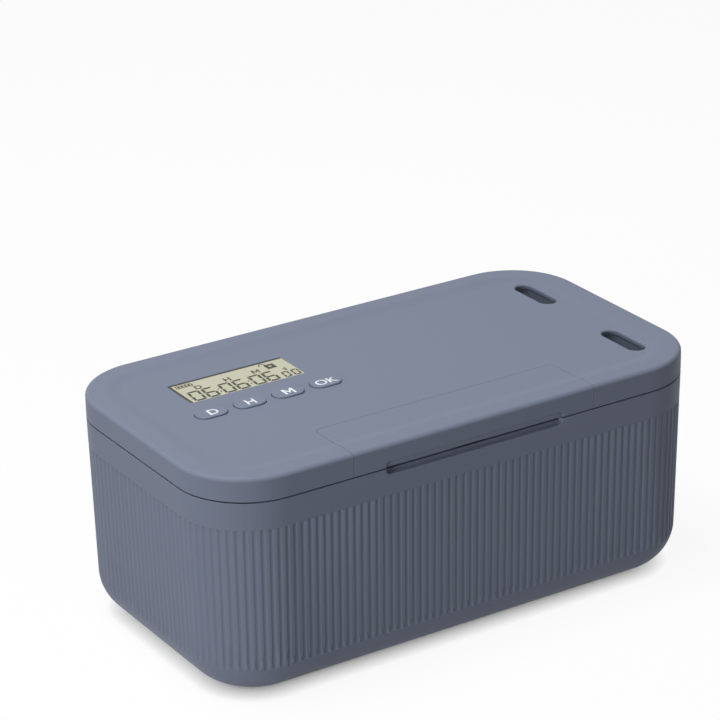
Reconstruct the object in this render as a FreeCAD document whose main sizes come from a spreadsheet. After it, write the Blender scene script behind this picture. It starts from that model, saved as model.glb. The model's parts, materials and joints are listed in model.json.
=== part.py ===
"""Timed lock container: a moulded tub with a hinged lid that holds the timer and a motor-driven bolt.

Millimetres. +X runs along the box to its right end, +Y to the hinges, +Z up.
The origin is on the surface that the feet rest on, under the middle of the tub.
"""
import FreeCAD, Part
import math
import os
import re
import Sketcher

Vector = FreeCAD.Vector
doc = FreeCAD.newDocument("timed_lock_container")

# ---------------------------------------------------------------- driving dimensions
SIZES = {
    # whole box
    "length": 240.0,            # tub and lid, end to end
    "depth": 132.0,             # tub and lid, front to back, without the hinges
    "rim_height": 89.8,         # top of the tub, from the resting surface
    "parting_gap": 0.5,         # between the tub's rim and the lid
    "lid_height": 10.3,         # lid alone, at its border
    "plan_corner": 31.5,        # corner radius seen from above
    "edge_break": 0.4,          # rounding of the two edges along the parting gap
    # tub
    "tub_draft": 1.85,          # how far each side comes in from rim to floor
    "tub_wall": 2.8,
    "tub_floor": 3.0,
    "tub_round": 19.2,          # large rounding between the sides and the underside
    "foot_radius": 7.0,
    "foot_thick": 1.5,
    "foot_proud": 0.5,
    "foot_inset": 12.0,         # foot centre, inwards from where the flat underside starts
    # finger recess across the parting gap
    "grip_half": 43.0,
    "grip_drop": 2.6,           # below the rim
    "grip_rise": 2.5,           # above the lid's lower edge
    "grip_depth": 2.6,          # into the tub
    "grip_lid_depth": 1.0,      # into the lid, which overhangs it
    "grip_corner": 2.0,
    "grip_skin": 1.4,           # plastic left behind the recess
    "rib_side": 3.0,            # the rib behind the recess runs on past its ends
    # strike in the tub's front
    "boss_half": 26.0,
    "boss_tall": 13.0,
    "boss_drop": 0.8,           # boss top below the rim
    "boss_in": 7.5,             # rear face of the boss, inwards from the front
    "strike_thick": 1.0,
    "strike_half": 24.0,
    "strike_margin": 2.0,       # plate edge inside the boss edge, top and bottom
    "strike_screw_x": 17.0,
    "strike_screw_long": 3.5,
    "strike_side": 0.6,         # room in the plate's window on each side of the bolt
    "strike_gap": 0.5,          # and under and over it
    "catch_side": 1.0,          # room in the pocket behind the plate on each side of the bolt
    "catch_below": 0.6,         # and under it; the pocket is open at the top
    "catch_spare": 1.0,         # room left past the shot bolt's tip
    # hinges
    "hinge_in": 50.0,           # middle of each hinge, inwards from the end
    "hinge_out": 2.9,           # pin axis behind the rear face
    "knuckle_radius": 2.6,
    "knuckle_length": 9.6,
    "knuckle_gap": 0.4,
    "pin_radius": 1.25,
    "pin_clearance": 0.05,
    # lid
    "skirt_wall": 2.6,
    "lid_edge": 1.8,            # rounding round the lid's top
    "border": 9.3,              # raised border round the sunk panel
    "ramp": 4.6,                # width of the slope down to the panel
    "ramp_round": 18.0,         # radius that eases the slope into the border and the panel
    "panel_drop": 0.7,
    "panel_thick": 2.2,
    # cover over the lock
    "cover_half": 58.5,
    "cover_behind": 10.5,       # its rear edge, behind the motor's shaft
    "cover_corner": 3.0,
    "cover_front": 3.6,         # thickness of its front wall
    "cover_seam": 0.15,
    "ledge_thick": 1.6,
    "ledge_width": 1.4,         # how far the ledge reaches under the cover's rear edge
    "ledge_side": 3.5,
    "hook_thick": 1.2,
    "hook_wide": 5.0,
    "hook_catch": 0.8,
    "hook_drop": 1.4,           # hook's lower end, below the ledge
    "hook_rear": 5.0,           # middle of the rear hooks, forwards of the cover's rear edge
    "hook_front": 13.0,         # and of the front ones
    # display
    "display_in": 61.9,         # its middle, inwards from the left end
    "display_back": 40.8,       # and inwards from the rear
    "window_long": 54.8,
    "window_high": 20.4,
    "window_corner": 1.0,
    "rim_round": 0.3,           # soft rim of the window and of the key holes
    "bezel_thick": 1.0,
    "glass_long": 59.8,
    "glass_high": 26.4,
    "glass_thick": 2.0,
    "glass_gap": 0.4,           # all round the glass in its pocket
    "strip_wide": 2.0,
    # keys
    "key_row_in": 63.4,         # middle of the row, inwards from the left end
    "key_row_down": 23.8,       # and forwards of the display's middle
    "key_long": 14.2,
    "key_space": 4.0,           # between one key and the next
    "key_high": 8.6,
    "key_proud": 0.6,
    "key_round": 0.4,
    "key_gap": 0.2,
    "key_flange": 0.9,
    "key_flange_thick": 0.8,
    "key_travel": 0.5,
    "switch_side": 6.0,
    "switch_high": 2.2,
    "plunger_radius": 1.7,
    "plunger_high": 0.7,        # above the switch
    "plunger_sunk": 0.8,        # inside it
    # circuit board
    "board_long": 78.0,
    "board_high": 55.0,
    "board_in": 63.0,           # its middle, inwards from the left end
    "board_down": 8.8,          # and forwards of the display's middle
    "board_drop": 4.6,          # board top below the lid's ceiling
    "board_thick": 1.2,
    "board_hole_inset": 3.5,
    "board_screw_radius": 1.0,
    # cable slots
    "slot_in": 21.3,            # their middles, inwards from the right end
    "slot_side": 34.0,          # and inwards from the front and the rear
    "slot_ahead": 0.8,          # and both of them this much forwards
    "slot_long": 25.6,
    "slot_wide": 8.2,
    "slot_round": 0.9,          # soft rim of each slot
    "slot_lip": 0.2,            # the liner's chute is wider than the slot by this much all round
    "chute_wall": 1.4,
    # liner
    "liner_inset": 3.3,         # from the lid's outer face
    "liner_wall": 1.8,
    "liner_drop": 3.0,          # its underside, below the tub's rim
    "liner_rise": 4.8,          # its upper edge, above the rim
    "notch_side": 1.5,          # it steps back behind the cover, this far past the cover's ends
    "corner_screw_in": 16.3,    # corner screws, inwards from the end and the side
    "side_screw_in": 12.0,      # the other screws, inwards from the side
    "front_screw_out": 7.0,     # front screws, outwards from the step
    "rear_screw_x": 24.0,
    "screw_radius": 1.2,
    "screw_head": 2.3,
    "screw_head_thick": 1.4,
    "lid_boss_radius": 3.0,
    "boss_gap": 0.1,
    "seat_gap": 0.2,            # between a piece and the wall that it sits against
    # lock housing under the liner
    "pod_in": 9.5,              # its front, inwards from the box's front
    "pod_behind": 11.5,         # its rear, behind the motor's shaft
    "pod_left": 16.0,
    "pod_right": 38.0,
    "pod_drop": 9.2,            # its underside, below the tub's rim
    "pod_wall": 1.6,
    # bolt and its drive
    "gear_module": 0.8,
    "pinion_teeth": 10,
    "gear_addendum": 0.7,
    "gear_dedendum": 1.0,
    "tooth_thick": 1.0,
    "shaft_in": 9.5,            # shaft axis, behind the housing's front
    "shaft_rise": 1.7,          # shaft axis, above the tub's rim
    "shaft_radius": 1.5,
    "pinion_half": 3.0,
    "bolt_half": 6.0,
    "bolt_thick": 3.3,
    "bolt_travel": 5.0,
    "bolt_behind": 7.4,         # its rear end, behind the shaft
    "bolt_tip_gap": 0.2,
    "bolt_fit": 0.15,
    "bolt_slot_gap": 0.3,       # all round the bolt where it leaves the housing
    "rack_teeth": 4,
    "guide_base": 0.9,
    "guide_half": 13.5,
    "guide_wall": 1.5,
    "bridge_deep": 1.4,
    "guide_screw_x": 10.5,
    "small_screw": 0.8,
    "small_head": 1.6,
    # geared motor
    "gearbox_face": 6.5,
    "gearbox_long": 9.0,
    "motor_long": 15.0,
    "motor_wide": 12.0,
    "motor_high": 10.0,
    "cradle_margin": 2.5,
    "cradle_high": 7.8,
    "strap_thick": 0.5,
    # batteries
    "cell_radius": 5.25,
    "cell_long": 43.7,
    "nub_radius": 1.9,
    "nub_long": 0.8,
    "cell_space": 0.5,          # between one cell and the next
    "cell_gap": 0.3,            # above each cell
    "bay_in": 60.0,             # its middle, inwards from the left end
    "bay_up": 3.5,              # and behind the board's middle
    "bay_wall": 1.6,
    "contact_thick": 0.3,
    "contact_half": 4.0,
    "spring_wire": 0.4,
    "spring_radius": 2.9,
    "spring_coils": 4,
    "spring_room": 6.6,         # for a pressed spring behind each cell
    "door_thick": 1.5,
    "door_gap": 0.3,
    "door_stub": 0.6,
    # lid sensor
    "magnet_radius": 2.0,
    "magnet_long": 5.0,
    "magnet_in": 6.4,           # magnet axis, inwards from the end's outer face
    "magnet_wall": 1.4,
    "magnet_base": 3.0,         # plastic under the magnet
    "magnet_drop": 0.6,         # its top, below the closed lid's tray
    "reed_radius": 1.1,
    "reed_long": 10.0,
    # sounder
    "sounder_radius": 4.0,
    "sounder_high": 4.0,
    "sounder_hole": 0.8,
    # wires
    "wire_radius": 0.55,
    "reed_wire_radius": 0.3,
}

sizes = doc.addObject("Spreadsheet::Sheet", "sizes")
for row, (alias, amount) in enumerate(SIZES.items(), start=1):
    sizes.set(f"A{row}", alias)
    sizes.set(f"B{row}", str(amount))
    sizes.setAlias(f"B{row}", alias)
doc.recompute()

# ---------------------------------------------------------------- places worked out from them
PLACES = {
    "half_length": "length / 2",
    "half_depth": "depth / 2",
    "rib_back": "half_depth - grip_depth - grip_skin",
    "boss_high": "rim_height - boss_drop",
    "boss_low": "boss_high - boss_tall",
    "boss_back": "half_depth - boss_in",
    "lid_low": "rim_height + parting_gap",
    "total_height": "lid_low + lid_height",
    "panel_top": "total_height - panel_drop",
    "ceiling": "panel_top - panel_thick",
    "cover_deep": "pod_in + shaft_in + cover_behind",
    "cover_back": "half_depth - cover_deep",
    "display_x": "display_in - half_length",
    "display_y": "half_depth - display_back",
    "key_pitch": "key_long + key_space",
    "key_row_x": "key_row_in - half_length",
    "key_row_y": "display_y - key_row_down",
    "board_x": "board_in - half_length",
    "board_y": "display_y - board_down",
    "slot_x": "half_length - slot_in",
    "slot_y": "half_depth - slot_side",
    "hinge_x": "half_length - hinge_in",
    "hinge_y": "half_depth + hinge_out",
    "hinge_z": "rim_height + parting_gap / 2",
    "hinge_half": "1.5 * knuckle_length + knuckle_gap",
    "foot_x": "half_length - tub_draft - tub_round - foot_inset",
    "foot_y": "half_depth - tub_draft - tub_round - foot_inset",
    "glass_high_z": "panel_top - bezel_thick - 0.05",
    "glass_low_z": "glass_high_z - glass_thick",
    "board_top": "ceiling - board_drop",
    "board_low": "board_top - board_thick",
    "board_hole_x": "board_long / 2 - board_hole_inset",
    "board_hole_y": "board_high / 2 - board_hole_inset",
    "key_top": "panel_top + key_proud",
    "flange_top": "ceiling - key_gap",
    "flange_low": "flange_top - key_flange_thick",
    "switch_top": "board_top + switch_high",
    "plunger_top": "switch_top + plunger_high",
    "plunger_low": "switch_top - plunger_sunk",
    "liner_low": "rim_height - liner_drop",
    "liner_high": "rim_height + liner_rise",
    "liner_floor": "liner_low + liner_wall",
    "notch_half": "cover_half + notch_side",
    "corner_screw_x": "half_length - corner_screw_in",
    "corner_screw_y": "half_depth - corner_screw_in",
    "front_screw_x": "notch_half + front_screw_out",
    "side_screw_y": "half_depth - side_screw_in",
    "chute_top": "ceiling - boss_gap",
    "screw_seat": "liner_floor + 0.4",
    "screw_shoulder": "screw_seat + 2",
    "pod_deep": "shaft_in + pod_behind",
    "pod_front": "half_depth - pod_in",
    "pod_back": "pod_front - pod_deep",
    "pod_low": "rim_height - pod_drop",
    "pod_floor": "pod_low + pod_wall",
    "shaft_y": "pod_front - shaft_in",
    "shaft_z": "rim_height + shaft_rise",
    "bolt_top": "shaft_z - gear_module * pinion_teeth / 2 - gear_dedendum",
    "bolt_low": "bolt_top - bolt_thick",
    "bolt_tip": "pod_front - bolt_tip_gap",
    "bolt_tail": "shaft_y - bolt_behind",
    "strike_back": "boss_back - strike_thick",
    "catch_front": "bolt_tip + bolt_travel + catch_spare",
    "motor_face": "gearbox_face + gearbox_long",
    "motor_back": "motor_face + motor_long",
    "cell_pitch": "2 * cell_radius + cell_space",
    "bay_wide": "3 * cell_pitch",
    "bay_long": "cell_long + nub_long + 2 * contact_thick + cell_gap + spring_room",
    "bay_x": "bay_in - half_length",
    "bay_y": "board_y + bay_up",
    "cell_z": "liner_low - cell_gap - cell_radius",
    "door_top": "cell_z - cell_radius - cell_gap * 2",
    "door_low": "door_top - door_thick",
    "door_axis_z": "door_top - door_thick / 2",
    "door_axis_y": "bay_y + bay_wide / 2 - door_gap - door_thick / 2",
    "magnet_x": "magnet_in - half_length",
    "magnet_top": "liner_low - magnet_drop",
}

places = doc.addObject("App::VarSet", "places")
for alias in PLACES:
    places.addProperty("App::PropertyFloat", alias)


def formula(text):
    """A formula on the sheet's sizes and the places, as FreeCAD reads it."""
    def owner(found):
        word = found.group(0)
        if word in SIZES:
            return f"sizes.{word}"
        return f"places.{word}" if word in PLACES else word
    return re.sub(r"[a-z][a-z0-9_]*", owner, str(text))


for alias, text in PLACES.items():
    places.setExpression(alias, formula(text))
ruler = doc.addObject("App::VarSet", "ruler")
ruler.addProperty("App::PropertyFloat", "reading")
doc.recompute()


def number(text):
    """What a formula comes to now, for the few shapes that are set as numbers."""
    ruler.setExpression("reading", formula(text))
    ruler.recompute()
    return ruler.reading


# ---------------------------------------------------------------- small helpers
AXIS_TURN = {
    "x": FreeCAD.Rotation(Vector(0, 1, 0), 90),
    "y": FreeCAD.Rotation(Vector(1, 0, 0), -90),
    "z": FreeCAD.Rotation(),
}


def bind(thing, **bound):
    """Tie an object's properties to formulas."""
    for name, text in bound.items():
        thing.setExpression(name, formula(text))
    return thing


def place(thing, x="0", y="0", z="0"):
    for letter, text in zip("xyz", (x, y, z)):
        thing.setExpression(f"Placement.Base.{letter}", formula(text))
    return thing


def box(name, x, y, z):
    """A block from low to high along each axis."""
    block = doc.addObject("Part::Box", name)
    for side, (low, high) in zip(("Length", "Width", "Height"), (x, y, z)):
        bind(block, **{side: f"({high}) - ({low})"})
    return place(block, x[0], y[0], z[0])


def rod(name, axis, radius, start, length):
    """A cylinder that starts at a point and runs along +X, +Y or +Z."""
    cylinder = doc.addObject("Part::Cylinder", name)
    cylinder.Placement = FreeCAD.Placement(Vector(), AXIS_TURN[axis])
    bind(cylinder, Radius=radius, Height=length)
    return place(cylinder, *start)


def fuse(name, *pieces):
    joined = doc.addObject("Part::MultiFuse", name)
    joined.Shapes = list(pieces)
    return joined


def cut(name, base, *tools):
    """The base with every tool taken away."""
    result = doc.addObject("Part::Cut", name)
    result.Base = base
    result.Tool = tools[0] if len(tools) == 1 else fuse(f"{name}_tools", *tools)
    return result


def common(name, first, second):
    shared = doc.addObject("Part::Common", name)
    shared.Base, shared.Tool = first, second
    return shared


def group(name, *pieces):
    """Equal solids that stay apart but share one node."""
    kept = doc.addObject("Part::Compound", name)
    kept.Links = list(pieces)
    return kept


def sketch_on(name, z):
    sketch = doc.addObject("Sketcher::SketchObject", name)
    return place(sketch, z=z)


def hold(sketch, kind, *where, at):
    """Add one measured constraint and tie it to a formula."""
    index = sketch.addConstraint(Sketcher.Constraint(kind, *where, number(at)))
    sketch.setExpression(f"Constraints[{index}]", formula(at))


def rounded_outline(name, half_x, half_y, corner, z):
    """A rounded rectangle about the Z axis: four lines with an arc after each."""
    sketch = sketch_on(name, z)
    long, wide, radius = number(half_x), number(half_y), number(corner)
    signs = ((1, -1), (1, 1), (-1, 1), (-1, -1))
    centres = [Vector(sx * (long - radius), sy * (wide - radius), 0) for sx, sy in signs]
    rim = [Vector(math.sin(turn), -math.cos(turn), 0) * radius
           for turn in (step * math.pi / 2 for step in range(4))]
    for side in range(4):
        start, end = centres[side - 1] + rim[side], centres[side] + rim[side]
        sketch.addGeometry(Part.LineSegment(start, end), False)
        circle = Part.Circle(centres[side], Vector(0, 0, 1), radius)
        angle = (side - 1) * math.pi / 2
        sketch.addGeometry(Part.ArcOfCircle(circle, angle, angle + math.pi / 2), False)
    for side in range(4):
        line, arc, following = 2 * side, 2 * side + 1, (2 * side + 2) % 8
        sketch.addConstraint(Sketcher.Constraint("Tangent", line, 2, arc, 1))
        sketch.addConstraint(Sketcher.Constraint("Tangent", arc, 2, following, 1))
        sketch.addConstraint(Sketcher.Constraint("Vertical" if side % 2 else "Horizontal", line))
        if side:
            sketch.addConstraint(Sketcher.Constraint("Equal", 1, arc))
    hold(sketch, "Radius", 1, at=corner)
    hold(sketch, "DistanceX", -1, 1, 2, 1, at=half_x)
    hold(sketch, "DistanceX", 6, 1, -1, 1, at=half_x)
    hold(sketch, "DistanceY", -1, 1, 4, 1, at=half_y)
    hold(sketch, "DistanceY", 0, 1, -1, 1, at=half_y)
    return sketch


def pill_outline(name, half_long, radius, z, upright=False):
    """A slot outline about the Z axis: two straight sides with round ends."""
    sketch = sketch_on(name, z)
    reach, bend = number(half_long) - number(radius), number(radius)
    along = Vector(0, 1, 0) if upright else Vector(1, 0, 0)
    across = Vector(-along.y, along.x, 0)
    heading = math.atan2(along.y, along.x)
    for sign, start in ((1, heading - math.pi / 2), (-1, heading + math.pi / 2)):
        end = along * (sign * reach)
        sketch.addGeometry(Part.LineSegment(end * -1 - across * (sign * bend),
                                            end - across * (sign * bend)), False)
        circle = Part.Circle(end, Vector(0, 0, 1), bend)
        sketch.addGeometry(Part.ArcOfCircle(circle, start, start + math.pi), False)
    for line, arc in ((0, 1), (2, 3)):
        sketch.addConstraint(Sketcher.Constraint("Tangent", line, 2, arc, 1))
        sketch.addConstraint(Sketcher.Constraint("Tangent", arc, 2, (line + 2) % 4, 1))
    sketch.addConstraint(Sketcher.Constraint("Equal", 1, 3))
    sketch.addConstraint(Sketcher.Constraint("Vertical" if upright else "Horizontal", 0))
    sketch.addConstraint(Sketcher.Constraint("Symmetric", 1, 3, 3, 3, -1, 1))
    hold(sketch, "Radius", 1, at=radius)
    direction = "DistanceY" if upright else "DistanceX"
    hold(sketch, direction, 3, 3, 1, 3, at=f"2 * (({half_long}) - ({radius}))")
    return sketch


def prism(name, outline, height):
    """An outline pushed straight up."""
    solid = doc.addObject("Part::Extrusion", name)
    solid.Base = outline
    solid.DirMode = "Custom"
    solid.Dir = Vector(0, 0, 1)
    solid.Solid = True
    return bind(solid, LengthFwd=height)


def drafted(name, low_outline, high_outline):
    """A solid with straight slopes between two outlines."""
    solid = doc.addObject("Part::Loft", name)
    solid.Sections = [low_outline, high_outline]
    solid.Solid = True
    solid.Ruled = True
    return solid


def rounded(name, base, radius, chosen):
    """The base with the edges that pass the test rounded."""
    doc.recompute()
    edges = [i for i, edge in enumerate(base.Shape.Edges, start=1) if chosen(edge)]
    if not edges:
        raise RuntimeError(f"{name}: no edge found to round")
    fillet = doc.addObject("Part::Fillet", name)
    fillet.Base = base
    fillet.Edges = [(i, number(radius), number(radius)) for i in edges]
    return fillet


def near(value, target, slack=1e-4):
    return abs(value - target) < slack


def level(edge, text):
    """Does the whole edge lie at this height?"""
    return near(edge.BoundBox.ZMin, number(text)) and near(edge.BoundBox.ZMax, number(text))


def within(edge, half_x, half_y):
    """Does the edge stay inside this half-length and half-width?"""
    span = edge.BoundBox
    return (max(abs(span.XMin), abs(span.XMax)) < number(half_x) + 0.01
            and max(abs(span.YMin), abs(span.YMax)) < number(half_y) + 0.01)


def upright(edge):
    return near(edge.BoundBox.XLength, 0) and near(edge.BoundBox.YLength, 0)


NODES = []


def node(name, thing):
    """Name a finished sub-part and keep it for export."""
    thing.Label = name
    NODES.append(thing)
    return thing


# ---------------------------------------------------------------- tub
FOOT_SPOTS = [(x, y) for x in ("-foot_x", "foot_x") for y in ("-foot_y", "foot_y")]
STRIKE_SCREW_Z = "(bolt_low + bolt_top) / 2"


def grip_cutter(name, depth, z_low, z_high, rounded_low):
    """The finger recess on one side of the parting gap, open towards the gap."""
    block = box(f"{name}_block", ("-grip_half", "grip_half"),
                ("-half_depth - 2", f"{depth} - half_depth"), (z_low, z_high))
    edge_z = number(z_low if rounded_low else z_high)
    return rounded(name, block, "grip_corner" if rounded_low else "grip_corner * 0.6",
                   lambda edge: near(edge.BoundBox.XLength, 0) and near(edge.BoundBox.ZLength, 0)
                   and near(edge.BoundBox.ZMin, edge_z))


def on_parting_edge(edge, rim):
    """Is the edge on the outer rim at this height, or where the finger recess meets the front face?"""
    if not within(edge, "grip_half", "half_depth"):
        return level(edge, rim)
    span, height = edge.BoundBox, number(rim)
    return (span.YMax < -number("half_depth") + 0.5
            and span.ZMax > height - number("grip_drop") - 0.01
            and span.ZMin < height + number("grip_rise") + 0.01)


def knuckles(name, spans, arm_z):
    """Hinge barrels with the arms that carry them, one for each span along X."""
    pieces = []
    for i, (low, high) in enumerate(spans, start=1):
        pieces.append(rod(f"{name}_barrel_{i}", "x", "knuckle_radius",
                          (low, "hinge_y", "hinge_z"), f"({high}) - ({low})"))
        pieces.append(box(f"{name}_arm_{i}", (low, high), ("half_depth - 1.2", "hinge_y"), arm_z))
    return pieces


def hinge_bores(name):
    return [rod(f"{name}_bore_{i}", "x", "pin_radius + pin_clearance",
                (f"{centre} - hinge_half - 1", "hinge_y", "hinge_z"), "2 * hinge_half + 2")
            for i, centre in enumerate(("-hinge_x", "hinge_x"), start=1)]


def make_tub():
    foot_outline = rounded_outline("tub_foot_outline", "half_length - tub_draft",
                                   "half_depth - tub_draft", "plan_corner - tub_draft", "foot_proud")
    rim_outline = rounded_outline("tub_rim_outline", "half_length", "half_depth", "plan_corner",
                                  "rim_height")
    outside = drafted("tub_block", foot_outline, rim_outline)
    outside = rounded("tub_outside", outside, "tub_round", lambda edge: level(edge, "foot_proud"))
    grip = grip_cutter("tub_grip", "grip_depth", "rim_height - grip_drop", "rim_height + 1", rounded_low=True)
    outside = rounded("tub_eased", cut("tub_gripped", outside, grip), "edge_break",
                      lambda edge: on_parting_edge(edge, "rim_height"))

    floor_outline = rounded_outline(
        "cavity_floor_outline", "half_length - tub_draft - tub_wall", "half_depth - tub_draft - tub_wall",
        "plan_corner - tub_draft - tub_wall", "foot_proud + tub_floor")
    mouth_outline = rounded_outline("cavity_mouth_outline", "half_length - tub_wall",
                                    "half_depth - tub_wall", "plan_corner - tub_wall", "rim_height")
    cavity = drafted("cavity_block", floor_outline, mouth_outline)
    cavity = rounded("cavity", cavity, "tub_round - tub_wall",
                     lambda edge: level(edge, "foot_proud + tub_floor"))
    shell = cut("tub_shell", outside, cavity)

    inner_face = "tub_wall - half_depth - 1.2"
    rib = box("grip_rib", ("-grip_half - rib_side", "grip_half + rib_side"), (inner_face, "-rib_back"),
              ("rim_height - 2 * grip_drop", "rim_height"))
    boss = box("strike_boss", ("-boss_half", "boss_half"), (inner_face, "-boss_back"),
               ("boss_low", "boss_high"))
    magnet_boss = box("magnet_boss",
                      ("tub_wall - half_length - 0.6", "magnet_x + magnet_radius + magnet_wall"),
                      ("-magnet_radius - magnet_wall", "magnet_radius + magnet_wall"),
                      ("magnet_top - magnet_long - magnet_base", "magnet_top"))
    spans = []
    for centre in ("-hinge_x", "hinge_x"):
        spans.append((f"{centre} - hinge_half", f"{centre} - hinge_half + knuckle_length"))
        spans.append((f"{centre} + hinge_half - knuckle_length", f"{centre} + hinge_half"))
    arms = knuckles("tub_knuckle", spans, ("hinge_z - knuckle_radius", "rim_height - edge_break"))
    backing = cut("front_backing", fuse("front_blocks", rib, boss), grip)
    solid = fuse("tub_solid", shell, backing, magnet_boss, *arms)

    catch = box("bolt_catch", ("-bolt_half - catch_side", "bolt_half + catch_side"),
                ("-catch_front", "1 - boss_back"), ("bolt_low - catch_below", "rim_height + 1"))
    magnet_hole = rod("magnet_hole", "z", "magnet_radius + 0.03",
                      ("magnet_x", "0", "magnet_top - magnet_long"), "magnet_long + 1")
    foot_pockets = [rod(f"foot_pocket_{i}", "z", "foot_radius + 0.05", (x, y, "foot_proud - 1"),
                        "foot_thick - foot_proud + 1") for i, (x, y) in enumerate(FOOT_SPOTS, start=1)]
    screw_holes = [rod(f"strike_hole_{i}", "y", "small_screw + 0.02",
                       (x, "-boss_back - strike_screw_long - 0.5", STRIKE_SCREW_Z),
                       "strike_screw_long + 1.5")
                   for i, x in enumerate(("-strike_screw_x", "strike_screw_x"), start=1)]
    return node("tub", cut("tub", solid, catch, magnet_hole, *foot_pockets, *screw_holes,
                           *hinge_bores("tub")))


def make_tub_fittings():
    node("rubber_feet", group("rubber_feet", *[
        rod(f"foot_{i}", "z", "foot_radius", (x, y, "0"), "foot_thick")
        for i, (x, y) in enumerate(FOOT_SPOTS, start=1)]))
    node("sensor_magnet", rod("sensor_magnet", "z", "magnet_radius",
                              ("magnet_x", "0", "magnet_top - magnet_long"), "magnet_long"))
    node("hinge_pins", group("hinge_pins", *[
        rod(f"hinge_pin_{i}", "x", "pin_radius", (f"{centre} - hinge_half", "hinge_y", "hinge_z"),
            "2 * hinge_half") for i, centre in enumerate(("-hinge_x", "hinge_x"), start=1)]))


def make_strike_plate():
    """A pressed steel plate with a window for the bolt and two countersunk holes."""
    plate = box("strike_blank", ("-strike_half", "strike_half"), ("-boss_back", "-strike_back"),
                ("boss_low + strike_margin", "boss_high - strike_margin / 2"))
    window = box("strike_window", ("-bolt_half - strike_side", "bolt_half + strike_side"),
                 ("-boss_back - 1", "1 - strike_back"), ("bolt_low - strike_gap", "bolt_top + strike_gap"))
    sinks = []
    screws = []
    for i, x in enumerate(("-strike_screw_x", "strike_screw_x"), start=1):
        sink = doc.addObject("Part::Cone", f"strike_sink_{i}")
        sink.Placement = FreeCAD.Placement(Vector(), AXIS_TURN["y"])
        bind(sink, Radius1="small_screw + 0.05", Radius2="small_head + 0.05", Height="strike_thick")
        sinks.append(place(sink, x, "-boss_back", STRIKE_SCREW_Z))
        head = doc.addObject("Part::Cone", f"strike_head_{i}")
        head.Placement = FreeCAD.Placement(Vector(), AXIS_TURN["y"])
        bind(head, Radius1="small_screw", Radius2="small_head", Height="strike_thick")
        place(head, x, "-boss_back", STRIKE_SCREW_Z)
        shank = rod(f"strike_shank_{i}", "y", "small_screw",
                    (x, "-boss_back - strike_screw_long", STRIKE_SCREW_Z), "strike_screw_long")
        recess = rod(f"strike_drive_{i}", "y", "small_screw * 0.5", (x, "-strike_back - 0.4",
                                                                    STRIKE_SCREW_Z), "1")
        screws.append(cut(f"strike_screw_{i}", fuse(f"strike_screw_form_{i}", head, shank), recess))
    node("strike_plate", cut("strike_plate", plate, window, *sinks))
    node("strike_screws", group("strike_screws", *screws))


# ---------------------------------------------------------------- lid
def make_lid_form():
    """The lid's whole outside, before the cover is parted from it."""
    outline = rounded_outline("lid_outline", "half_length", "half_depth", "plan_corner", "lid_low")
    form = prism("lid_prism", outline, "total_height - lid_low")
    form = rounded("lid_topped", form, "lid_edge", lambda edge: level(edge, "total_height"))
    grip = grip_cutter("lid_grip", "grip_lid_depth", "lid_low - 1", "lid_low + grip_rise", rounded_low=False)
    form = rounded("lid_eased", cut("lid_gripped", form, grip), "edge_break",
                   lambda edge: on_parting_edge(edge, "lid_low"))
    inner = "(border + ramp)"
    panel_low = rounded_outline("panel_low_outline", f"half_length - {inner}", f"half_depth - {inner}",
                                f"plan_corner - {inner}", "panel_top")
    panel_high = rounded_outline("panel_high_outline", "half_length - border", "half_depth - border",
                                 "plan_corner - border", "total_height")
    sunk = cut("lid_sunk", form, drafted("panel_sink", panel_low, panel_high))
    return rounded("lid_form", sunk, "ramp_round",
                   lambda edge: (level(edge, "total_height") or level(edge, "panel_top"))
                   and within(edge, "half_length - border", "half_depth - border"))


def cover_prism(name, grow, z_low, z_high):
    """The cover's plan: open to the front, with two rounded rear corners."""
    block = box(f"{name}_block", (f"-cover_half - {grow}", f"cover_half + {grow}"),
                ("-half_depth - 2", f"{grow} - cover_back"), (z_low, z_high))
    back = number(f"{grow} - cover_back")
    return rounded(name, block, f"cover_corner + {grow}",
                   lambda edge: upright(edge) and near(edge.BoundBox.YMax, back))


def key_spots():
    return [f"key_row_x + ({step}) * key_pitch" for step in ("-1.5", "-0.5", "0.5", "1.5")]


LINER_SCREWS = [(f"{sx} * {x}", f"{sy} * {y}") for x, y, signs in (
    ("corner_screw_x", "corner_screw_y", ((-1, -1), (1, -1), (-1, 1), (1, 1))),
    ("front_screw_x", "side_screw_y", ((-1, -1), (1, -1))),
    ("rear_screw_x", "side_screw_y", ((-1, 1), (1, 1)))) for sx, sy in signs]
BOARD_SCREWS = [(f"board_x + {sx} * board_hole_x", f"board_y + {sy} * board_hole_y")
                for sx in (-1, 1) for sy in (-1, 1)]
SLOTS = [("slot_x", f"{side} * slot_y - slot_ahead") for side in (-1, 1)]
# The outer contacts carry a solder tab each, which stands up through the liner to the board.
TAB_SPOTS = [("bay_x + bay_long / 2 - contact_thick / 2", "bay_y - cell_pitch"),
             ("bay_x - bay_long / 2 + contact_thick / 2", "bay_y + cell_pitch")]


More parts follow.
